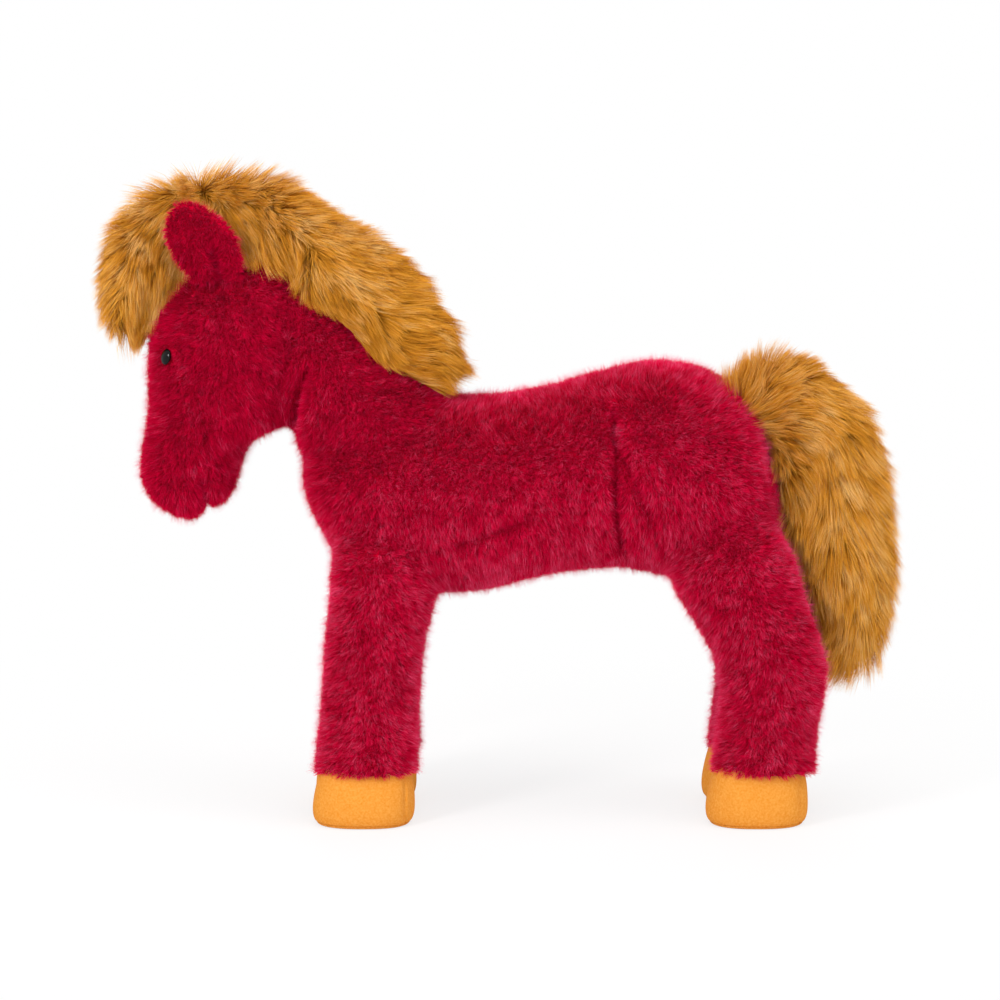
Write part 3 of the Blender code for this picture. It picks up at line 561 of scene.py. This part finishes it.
def combed(spots, ways, lie, length, lifts, points, rng, spread):
    """Paths of fibres that rise from a skin and lie over along the pile's direction."""
    lie = lie - ways * (lie * ways).sum(1, keepdims=True)
    lie = unit(unit(lie) + rng.normal(size=lie.shape) * spread)
    steps = points - 1
    paths = [spots]
    for k in range(steps):
        share = (k + 0.5) / steps
        lift = lifts[0] * (1 - share) + lifts[1] * share
        way = unit(lie * (1 - lift) + ways * lift)
        paths.append(paths[-1] + way * (length / steps)[:, None])
    return np.stack(paths, axis=1)


def gather(paths, leaders, strength, root_pull=0.6):
    """Pull fibres towards their tuft's leader, more towards the tip."""
    share = (np.linspace(0, 1, paths.shape[1]) ** 1.5 * strength)[None, :, None]
    root = paths[:, :1] * (1 - root_pull) + paths[leaders][:, :1] * root_pull
    return paths * (1 - share) + (paths[leaders] - paths[leaders][:, :1] + root) * share


# %% [markdown]
# ## The short coat
#
# Plush has a nap: its fibres lie back and down, and handling swirls it. A dense undercoat gives
# the colour, and sparse, finer and longer guard fibres soften the outline; their colour is painted
# paler, as a painted highlight where they catch the light. The pile is clipped round the eyes and
# caught by the stitches along a seam, where painted shade darkens it. Where the coat turns off the
# toy's sides, a painted rim light pales it.

# %% Lie of the short pile
def body_lie(spots):
    """Direction of the short pile: back and down, swirled by handling."""
    swirl = 0.9 * ripple(spots, 26 * MM, 11)
    lie = np.zeros_like(spots)
    lie[:, 0] = 0.25 + 0.55 * swirl
    lie[:, 1] = 0.35 * ripple(spots, 22 * MM, 12)
    lie[:, 2] = -0.9
    return lie


FIRM_SEAM = 4.5
EYE_CLEARING = 2.6 * MM
CLEARING_EDGE = 4 * MM
STUBBLE = 0.12
SEAM_CROP = 0.78


def seam_hold(spots):
    """How firmly a seam holds each spot: 1 on the stitches, 0 well clear of them."""
    hold = np.zeros(len(spots))
    for run, depth, wide, middle in SEAMS:
        bell = np.exp(-((run_distance(spots, run) / (0.85 * wide * MM)) ** 2))
        near = min(depth / FIRM_SEAM, 1) * bell
        hold = np.maximum(hold, near * (abs(spots[:, 1]) >= middle * MM))
    return hold


def clipped(spots, length, hold):
    """Clip the pile round the eyes, and keep it short where a seam has caught it."""
    for side in ("left", "right"):
        low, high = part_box("eye_" + side)
        far = np.linalg.norm(spots - np.array((low + high) / 2), axis=1)
        length = length * np.clip((far - EYE_CLEARING) / CLEARING_EDGE, STUBBLE, 1)
    return length * (1 - SEAM_CROP * hold)


FIBRE_WIDTH = 0.33 * MM


def short_pile(name, thing, seed, tint, per_mm2=7.4, length=4.4 * MM, region=None,
               stand=0.0, rim=0.2):
    """Undercoat and guard fibres; stand lifts them, rim is a painted rim light off the toy's sides.
    """
    made = []
    coats = (
        # name, fibres for each mm2, length, width, lift at root and tip, spread, painted highlight
        (name, per_mm2, length, FIBRE_WIDTH, (0.66, 0.5), 0.85, 0.0),
        (name + "_guard", per_mm2 * 0.22, length * 1.5, FIBRE_WIDTH * 0.36, (0.78, 0.62), 0.8,
         0.36),
    )
    for number, (coat, density, reach, thick, lifts, spread, painted_highlight) in enumerate(coats):
        spots, ways, rng = spots_on(thing, density, seed + number)
        if region:
            chosen = region(spots)
            spots, ways = spots[chosen], ways[chosen]
        hold = seam_hold(spots)
        size = clipped(spots, reach * rng.uniform(0.6, 1.15, len(spots)), hold)
        lifts = [lift + stand * (1 - lift) for lift in lifts]
        paths = combed(spots, ways, body_lie(spots), size, lifts, 2, rng, spread)
        leaders = tufted(spots, 24, rng)
        paths = gather(paths, leaders, 0.45)
        # Guard fibres start further up the tint ramp: a painted highlight.
        tints = tint + painted_highlight + 0.1 * ripple(spots, 9 * MM, seed + 5)
        tints += 0.12 * rng.normal(size=len(spots))
        # Painted rim light: its share grows where the coat turns off the toy's sides, to front,
        # back, top and belly.
        rim_light_share = (1 - abs(ways[:, 1])) ** 2
        # Painted shade: the pile turns darker where a seam holds it; rim adds the painted rim
        # light.
        tints += 0.08 * rng.normal(size=len(spots))[leaders] - 0.5 * hold + rim * rim_light_share
        widths = np.full(len(spots), thick * (1))
        made.append(fibres(coat, paths, ways, widths, tints, rng, crimson_pile))
    return made


coats = {source: [(source, None)] for source in panels}
MID_BARREL = 15 * MM
coats["torso"] = [
    ("shoulder", lambda spots: spots[:, 0] < MID_BARREL),
    ("haunch", lambda spots: spots[:, 0] >= MID_BARREL),
]
PANEL_TINT = {"head": 0.30, "neck": 0.37, "torso": 0.53}
LEG_TINT = 0.57
for number, (source, parts) in enumerate(coats.items()):
    tint = PANEL_TINT.get(source, LEG_TINT)
    for half, (name, region) in enumerate(parts):
        seed = 100 + 10 * number + 4 * half
        for pile in short_pile(name + "_pile", panels[source], seed, tint, region=region):
            carry(pile, source)
for source, thing in panels.items():
    carry(thing, source)

# %% [markdown]
# ## Mane, forelock and tail
#
# Long-pile fabric, some 20 mm deep, is sewn into the neck's top seam and drawn over a thin roll
# of stuffing. The roll is made first; the hair is then brushed along it, parted behind the ears.

# %% Rolls under the long hair
HAIR_DEPTH = 8.0 * MM
skin_tree = BVHTree.FromBMesh(skin)


def outside_skin(spot, room):
    """Whether a point lies further outside the body's skin than a set room."""
    place, way, _, far = skin_tree.find_nearest(spot)
    return (spot - place).dot(way) > room


def roll(names, balls=()):
    """Roll that lies the hair's depth inside the CAD solids."""
    return felted(names, 2.0 * MM, 1.5 * MM, HAIR_DEPTH, 14, balls)


withers = [((-61, 0, 234), 17), ((-51, 0, 226), 17), ((-43, 0, 217), 17), ((-32, 0, 201), 17)]
mane_roll = roll(["mane", "forelock"] + hidden["neck"] + hidden["head"], withers)
MANE_END = 172 * MM
middles = [(face, face.calc_center_median()) for face in mane_roll.faces]
sunk = [face for face, spot in middles if spot.z < MANE_END or not outside_skin(spot, -3 * MM)]
bmesh.ops.delete(mane_roll, geom=sunk, context="FACES")
bmesh.ops.bisect_plane(
    mane_roll, geom=mane_roll.verts[:] + mane_roll.edges[:] + mane_roll.faces[:], dist=0.05 * MM,
    plane_co=HEAD_START, plane_no=HEAD_WAY,
)
neck_roll = mane_roll.copy()
for shape, keep_head in ((mane_roll, True), (neck_roll, False)):
    drop = [face for face in shape.faces if past(face.calc_center_median(), "head") != keep_head]
    bmesh.ops.delete(shape, geom=drop, context="FACES")
rump = [((103, 0, 169), 17), ((114, 0, 177), 17), ((122, 0, 167), 19), ((126, 0, 148), 18),
        ((129, 0, 124), 17), ((137, 0, 100), 17), ((146, 0, 82), 14), ((144, 0, 72), 13)]
tail_roll = roll(["tail_cover", "tail_stuffing"], rump)


def roll_piece(name, shape, *replaced):
    """Object from a roll; it takes the place of CAD pieces."""
    mesh = bpy.data.meshes.new(name)
    shape.to_mesh(mesh)
    shape.free()
    mesh.shade_smooth()
    thing = on_stage(name, mesh, gold_knit)
    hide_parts(*replaced)
    print(name, len(mesh.polygons), "faces")
    return thing


rolls = {
    "forelock": (roll_piece("forelock_roll", mane_roll, "forelock"), "head"),
    "mane": (roll_piece("mane_roll", neck_roll, "mane"), "neck"),
    "tail": (roll_piece("tail_roll", tail_roll, "tail_cover", "tail_stuffing"), "tail"),
}

# %% [markdown]
# ## Brushing the long hair
#
# The hair follows runs of points drawn in side view: away from the parting over the crest, and
# out from the dock, then down the tail. It is planted like the pile, with more bends to a fibre
# and bigger tufts, which make the locks.

# %% Brush the long hair
CREST = ((-157, 185), (-156, 215), (-153, 234), (-146, 251), (-127, 262), (-102, 258), (-83, 247),
         (-64, 232), (-45, 215), (-30, 198), (-18, 180))
DOCK = ((108, 188), (127, 187), (142, 166), (148, 140), (152, 115), (154, 90), (152, 68), (146, 54))
PARTING = -124 * MM
HAIR_WIDTH = 0.23 * MM
HAIR_TINT = {"head": 0.53, "neck": 0.35, "tail": 0.55}
HEAD_LIFTS = (0.66, 0.36)


def along_run(spots, run):
    """Way along a side-view run at each spot."""
    fine = []
    for (x0, z0), (x1, z1) in zip(run, run[1:]):
        for share in np.linspace(0, 1, 8, endpoint=False):
            fine.append((x0 + (x1 - x0) * share, 0, z0 + (z1 - z0) * share))
    fine = np.array(fine) * MM
    for _ in range(6):
        fine[1:-1] = (fine[:-2] + 2 * fine[1:-1] + fine[2:]) / 4
    ways = unit(np.gradient(fine, axis=0))
    flat = spots * np.array([1, 0, 1])
    nearest = np.argmin(((flat[:, None] - fine[None]) ** 2).sum(2), axis=1)
    return ways[nearest]


def mane_lie(spots):
    """Brushed away from the parting: over the brow, and back and down the neck."""
    along = along_run(spots, CREST)
    side = (spots[:, 0] - PARTING) / (14 * MM) + 0.6 * ripple(spots, 8 * MM, 33)
    side = np.tanh(1.8 * side)[:, None]
    low = np.clip((spots[:, 0] + 80 * MM) / (40 * MM), 0, 1)
    behind_ear = np.exp(-(((spots[:, 0] + 97 * MM) / (13 * MM)) ** 2)) * (spots[:, 2] < 248 * MM)
    lie = along * side + np.array([0, 0, 1.0]) * (0.8 * low - 0.3 - 0.6 * behind_ear)[:, None]
    lie[:, 1] += np.sign(spots[:, 1]) * 0.9 * (1 - abs(side[:, 0]))
    lie[:, 0] += 0.28 * ripple(spots, 26 * MM, 31)
    lie[:, 2] += 0.28 * ripple(spots, 26 * MM, 32)
    return lie


def mane_length(spots):
    """Longest behind the ears, shortest on the brow."""
    x = (-160, -132, -118, -103, -92, -80, -66, -45, -20)
    length = (12.5, 15, 15, 17, 17, 13.5, 13, 14, 15)
    crest = np.clip((spots[:, 2] - 244 * MM) / (10 * MM), 0, 1)
    crest *= np.exp(-(((spots[:, 0] + 93 * MM) / (13 * MM)) ** 2))
    return (np.interp(spots[:, 0] / MM, x, length) - 4.0 * crest) * MM


def tail_lie(spots):
    """Fans out from the dock, then runs down the tail."""
    along = along_run(spots, DOCK)
    lie = along + np.array([0.15, 0, -0.1])
    reach = (spots - np.array([93, 0, 158]) * MM) * np.array([1, 0, 1])
    far = np.clip(np.linalg.norm(reach, axis=1) / (24 * MM) - 1, 0, 1)[:, None]
    lie = lie * far + unit(reach) * (1 - far)
    low = np.clip((80 * MM - spots[:, 2]) / (20 * MM), 0, 1)[:, None]
    lie += low * np.array([-0.5, 0, -0.2])
    lie[:, 0] += 0.28 * ripple(spots, 26 * MM, 41)
    lie[:, 1] += 0.2 * ripple(spots, 22 * MM, 42)
    return lie


def tail_length(spots):
    """Shorter over the dock's outer side, longer at the tip."""
    high = np.clip((spots[:, 2] - 165 * MM) / (20 * MM), 0, 1)
    outer = np.clip((spots[:, 0] - 112 * MM) / (18 * MM), 0, 1)
    low = np.clip((85 * MM - spots[:, 2]) / (25 * MM), 0, 1)
    return (17 - (1.5 + 5.5 * outer) * high + 4.5 * low) * MM


def long_hair(name, thing, body, seed, lie_of, length_of, region, per_mm2=6.0,
              lifts=(0.62, 0.28), clump=0.5):
    """Hair over part of a roll; it stands up more near the parting and on the dock."""
    spots, ways, rng = spots_on(thing, per_mm2, seed)
    chosen = region(spots)
    spots, ways = spots[chosen], ways[chosen]
    size = length_of(spots) * rng.uniform(0.65, 1.2, len(spots))
    if body == "tail":
        stand = 0.5 * np.clip(-ways[:, :1], 0, 1)
    else:
        near_parting = np.exp(-(((spots[:, :1] - PARTING) / (17 * MM)) ** 2))
        stand = 0.35 * near_parting * np.clip(ways[:, 2:], 0, 1)
    lifts = (lifts[0] + 0.3 * stand, lifts[1] + 0.6 * stand)
    paths = combed(spots, ways, lie_of(spots), size, lifts, 3, rng, 0.16)
    leaders = tufted(spots, 40, rng)
    paths = gather(paths, leaders, clump)
    tints = HAIR_TINT[body] + 0.14 * ripple(spots, 12 * MM, seed + 5)
    tints += 0.17 * rng.normal(size=len(spots))
    tints += 0.1 * rng.normal(size=len(spots))[leaders]
    widths = np.full(len(spots), HAIR_WIDTH * (1))
    hair = fibres(name, paths, ways, widths, tints, rng, gold_pile)
    carry(hair, body)


def clear_of_body(spots):
    """Hair starts just outside the body's skin, and further out beside the face."""
    room = np.where(spots[:, 0] < -122 * MM, 3.2 * MM, 0.5 * MM)
    return np.array([outside_skin(Vector(spot), least) for spot, least in zip(spots, room)])


def on_poll(spots):
    """Whether spots lie on the crown, between the ears."""
    return (abs(spots[:, 0] + 120 * MM) < 14 * MM) & (spots[:, 2] > 247 * MM)


def poll_length(spots):
    """One length all over."""
    return np.full(len(spots), 12 * MM)


MID_TAIL = 125 * MM
brow, crest, plume = (rolls[name][0] for name in ("forelock", "mane", "tail"))
long_hair("forelock_hair", brow, "head", 201, mane_lie, mane_length, clear_of_body,
          lifts=HEAD_LIFTS)
long_hair("mane_hair", crest, "neck", 202, mane_lie, mane_length, clear_of_body)
long_hair("poll_hair", brow, "head", 205, mane_lie, poll_length, on_poll,
          per_mm2=5, lifts=HEAD_LIFTS, clump=0.35)
long_hair("tail_hair_high", plume, "tail", 203, tail_lie, tail_length,
          lambda spots: spots[:, 2] > MID_TAIL)
long_hair("tail_hair_low", plume, "tail", 204, tail_lie, tail_length,
          lambda spots: spots[:, 2] <= MID_TAIL)
for thing, body in rolls.values():
    carry(thing, body)

# %% [markdown]
# ## Ears
#
# An ear is two small leaves of plush sewn edge to edge, turned, and folded at the root before it
# is sewn into the head seam. The fold makes its cup.

# %% Ears
EAR_FOLD = ((-112, 224), (-113, 233), (-116, 241))
EAR_RIM = ((-106, 228), (-104, 240), (-112, 254))
for side, sign in (("left", -1), ("right", 1)):
    shape = felted(["ear_back_" + side, "ear_lining_" + side], 0.9 * MM, 0.5 * MM, 0.2 * MM, 6)
    mesh = bpy.data.meshes.new("ear_leaf_" + side)
    places = at(shape.verts, "co")
    fold = np.exp(-((run_distance(places, EAR_FOLD) / (3.6 * MM)) ** 2))
    rim = np.exp(-((run_distance(places, EAR_RIM) / (5 * MM)) ** 2))
    for vert, deep, raised in zip(shape.verts, fold, rim):
        vert.co += Vector((1.5 * raised, sign * (1.5 * raised - 6 * deep), 0)) * MM
        vert.co.x += 0.19 * (-126 * MM - vert.co.x)
        vert.co.z += 0.06 * (226 * MM - vert.co.z)
    shape.to_mesh(mesh)
    shape.free()
    mesh.shade_smooth()
    leaf = on_stage("ear_leaf_" + side, mesh, crimson_knit)
    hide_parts("ear_back_" + side, "ear_lining_" + side)
    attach(leaf, "ear_" + side)
    # The ear's pile gets a low tint, painted darker as painted shade, and a stronger painted rim
    # light.
    piles = short_pile("ear_pile_" + side, leaf, 300 + sign, 0.16, per_mm2=8, length=3.0 * MM,
                       stand=0.3, rim=0.5)
    for pile in piles:
        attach(pile, "ear_" + side)

# %% [markdown]
# ## Hoofs
#
# A band of microsuede, its nap brushed, is closed by one seam at the heel and sewn to a flat
# sole. Stuffing rounds the band outwards and the sole's edge upwards.

# %% Hoofs
def stacked_rings(rings, segments):
    """Closed form through rings: each has a centre, and its reach left, right and sideways."""
    shape = bmesh.new()
    loops = []
    for centre, left, right, wide in rings:
        made = bmesh.ops.create_circle(shape, cap_ends=False, segments=segments, radius=1)["verts"]
        for vert in made:
            square = [math.copysign(abs(share) ** 0.8, share) for share in vert.co[:2]]
            vert.co = (square[0] * (left if square[0] < 0 else right), square[1] * wide, 0)
        bmesh.ops.translate(shape, verts=made, vec=centre)
        loops.append({edge for vert in made for edge in vert.link_edges})
    for low, high in zip(loops, loops[1:]):
        bmesh.ops.bridge_loops(shape, edges=list(low | high))
    for loop in (loops[0], loops[-1]):
        made = bmesh.ops.edgenet_fill(shape, edges=list(loop))["faces"]
        for amount in (0.35, 0.5):
            bmesh.ops.inset_individual(shape, faces=made, thickness=amount * 12 * MM)
    bmesh.ops.recalc_face_normals(shape, faces=shape.faces)
    return shape


# rings: height mm, then shares of the CAD hoof's reach forwards, backwards and sideways
HOOF_SHAPE = (
    (1.0, 0.92, 0.90, 0.91), (1.8, 0.965, 0.945, 0.955), (4.5, 0.995, 0.985, 0.99),
    (9, 0.985, 0.99, 0.99), (15, 0.93, 0.975, 0.95), (20, 0.87, 0.94, 0.88),
    (25, 0.78, 0.84, 0.78),
)
SOLE_SHAPE = (
    (0.0, 0.87, 0.85, 0.86), (0.4, 0.91, 0.89, 0.90), (1.0, 0.925, 0.905, 0.915),
    (1.5, 0.90, 0.88, 0.89),
)
HEEL_SEAM = 0.80
for leg in LEGS:
    low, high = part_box("hoof_" + leg)
    centre, half = (low + high) / 2, (high - low) / 2
    centre.x += (1.0 if "front" in leg else -0.6) * MM
    for kind, table in (("hoof", HOOF_SHAPE), ("sole", SOLE_SHAPE)):
        rings = [
            (Vector((centre.x, centre.y, z * MM)), half.x * a, half.x * b, half.y * c)
            for z, a, b, c in table
        ]
        shape = stacked_rings(rings, 40)
        mesh = bpy.data.meshes.new(kind + "_suede_" + leg)
        shape.to_mesh(mesh)
        shape.free()
        thing = on_stage(mesh.name, mesh)
        mesh = settled(thing, ("SUBSURF", {"levels": 2, "render_levels": 2}))
        if kind == "hoof":
            for vert in mesh.vertices:
                away = (vert.co.x - centre.x - HEEL_SEAM * half.x) / (0.7 * MM)
                vert.co.y -= math.copysign(1.1 * MM * math.exp(-away * away), vert.co.y - centre.y)
        mesh.shade_smooth()
        thing = on_stage(kind + "_suede_" + leg, mesh, hoof_suede)
        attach(thing, "leg_" + leg)
        if kind == "hoof":
            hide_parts("hoof_" + leg, "sole_board_" + leg)
        else:
            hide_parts("sole_" + leg)

# %% [markdown]
# ## Eyes
#
# A safety eye is a glossy black dome on a stem, pressed through the cloth and held by a washer
# behind it. The pile is clipped around it.

# %% Eyes
# Polished black plastic: near black all over, with one small sharp highlight.
eye_gloss, tree, shader = finish("eye_plastic_black")
spot = node(tree, "ShaderNodeTexCoord").outputs["Object"]
swirl = node(tree, "ShaderNodeTexNoise", Vector=spot, Scale=1 / (3 * MM), Detail=2.0)
black = ramp(tree, swirl.outputs[0], ((0.3, "020202"), (0.7, "080606")))
tree.links.new(black, shader.inputs["Base Color"])
shader.inputs["Roughness"].default_value = 0.04
shader.inputs["Specular IOR Level"].default_value = 0.2
for side in ("left", "right"):
    low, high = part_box("eye_" + side)
    washer_low, washer_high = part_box("eye_washer_" + side)
    centre = (low + high) / 2
    way = (centre - (washer_low + washer_high) / 2).normalized()
    shape = bmesh.new()
    bmesh.ops.create_uvsphere(shape, u_segments=32, v_segments=20, radius=3.2 * MM)
    turn = way.to_track_quat("Z", "Y").to_matrix().to_4x4()
    sunk = Matrix.Translation(centre + Vector((0, 0, -1.0)) * MM)
    oval = Matrix.Diagonal((0.84, 1.05, 0.38, 1))
    bmesh.ops.transform(shape, matrix=sunk @ turn @ oval, verts=shape.verts)
    mesh = bpy.data.meshes.new("eye_dome_" + side)
    shape.to_mesh(mesh)
    shape.free()
    mesh.shade_smooth()
    dome = on_stage("eye_dome_" + side, mesh, eye_gloss)
    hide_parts("eye_" + side, "eye_washer_" + side)
    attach(dome, "head")
    print("eye", side, [round(c / MM, 1) for c in centre], "faces", [round(c, 2) for c in way])

# %% [markdown]
# ## Paper, room and lamps
#
# A product photo stands on white paper that fades out, so only a soft shadow shows the floor.
# Big lamps keep the shadows soft, and one small lamp gives the eye its highlight.

# %% Floor and light
def looking(tree):
    """1 on rays that show a picture: the camera's, and those in gloss or through clear pieces."""
    rays = node(tree, "ShaderNodeLightPath")
    seen = node(tree, "ShaderNodeMath", {"operation": "MAXIMUM"}, _0=rays.outputs["Is Camera Ray"],
                _1=rays.outputs["Is Glossy Ray"])
    seen = node(tree, "ShaderNodeMath", {"operation": "MAXIMUM"}, _0=seen.outputs[0],
                _1=rays.outputs["Is Transmission Ray"])
    return seen.outputs[0]


def floor_material():
    """White paper: a soft shadow near the toy, pure white further out."""
    made, tree, shader = finish("paper_backdrop_white")
    spot = node(tree, "ShaderNodeTexCoord").outputs["Object"]
    far = node(tree, "ShaderNodeVectorMath", {"operation": "LENGTH"}, _0=spot).outputs["Value"]
    fade = node(tree, "ShaderNodeMapRange", {"interpolation_type": "SMOOTHSTEP"}, Value=far,
                From_Min=0.05, From_Max=0.42, To_Min=0.75, To_Max=1.0)
    # The paper's faint pink is painted: painted reflected light from the red toy in its shadow.
    shader.inputs["Base Color"].default_value = (0.80, 0.78, 0.78, 1)
    shader.inputs["Roughness"].default_value = 0.9
    seen = node(tree, "ShaderNodeMath", {"operation": "MULTIPLY"}, _0=looking(tree),
                _1=fade.outputs[0])
    white = node(tree, "ShaderNodeEmission", Color=(1, 1, 1, 1), Strength=1.0)
    mixed = node(tree, "ShaderNodeMixShader", Fac=seen.outputs[0], _1=shader.outputs[0],
                 _2=white.outputs[0])
    tree.links.new(mixed.outputs[0], tree.nodes["Material Output"].inputs["Surface"])
    return made


shape = bmesh.new()
bmesh.ops.create_grid(shape, x_segments=1, y_segments=1, size=12)
mesh = bpy.data.meshes.new("floor")
shape.to_mesh(mesh)
shape.free()
floor = on_stage("floor", mesh, floor_material())

world = bpy.data.worlds.new("studio")
bpy.context.scene.world = world
world.use_nodes = True
tree = world.node_tree
tree.nodes.clear()
room = node(tree, "ShaderNodeBackground", Color=(1, 1, 1, 1), Strength=0.57)
paper = node(tree, "ShaderNodeBackground", Color=(1, 1, 1, 1), Strength=1.0)
mixed = node(tree, "ShaderNodeMixShader", Fac=looking(tree), _1=room.outputs[0],
             _2=paper.outputs[0])
node(tree, "ShaderNodeOutputWorld", Surface=mixed.outputs[0])


def softbox(name, place, size, watts):
    """Square area light that looks at the toy's middle."""
    lamp = bpy.data.lights.new(name, "AREA")
    lamp.size = size
    lamp.energy = watts
    thing = bpy.data.objects.new(name, lamp)
    thing.location = place
    thing.rotation_euler = (Vector(place) - Vector((0, 0, 0.13))).to_track_quat("Z", "Y").to_euler()
    bpy.context.scene.collection.objects.link(thing)


softbox("top", (0.3, -0.4, 1.6), 1.2, 13)
softbox("right", (1.3, -0.9, 0.4), 0.9, 6)
softbox("back", (0.2, 1.5, 1.2), 1.2, 9)
softbox("key", (-0.66, -0.9, 0.74), 0.28, 9)
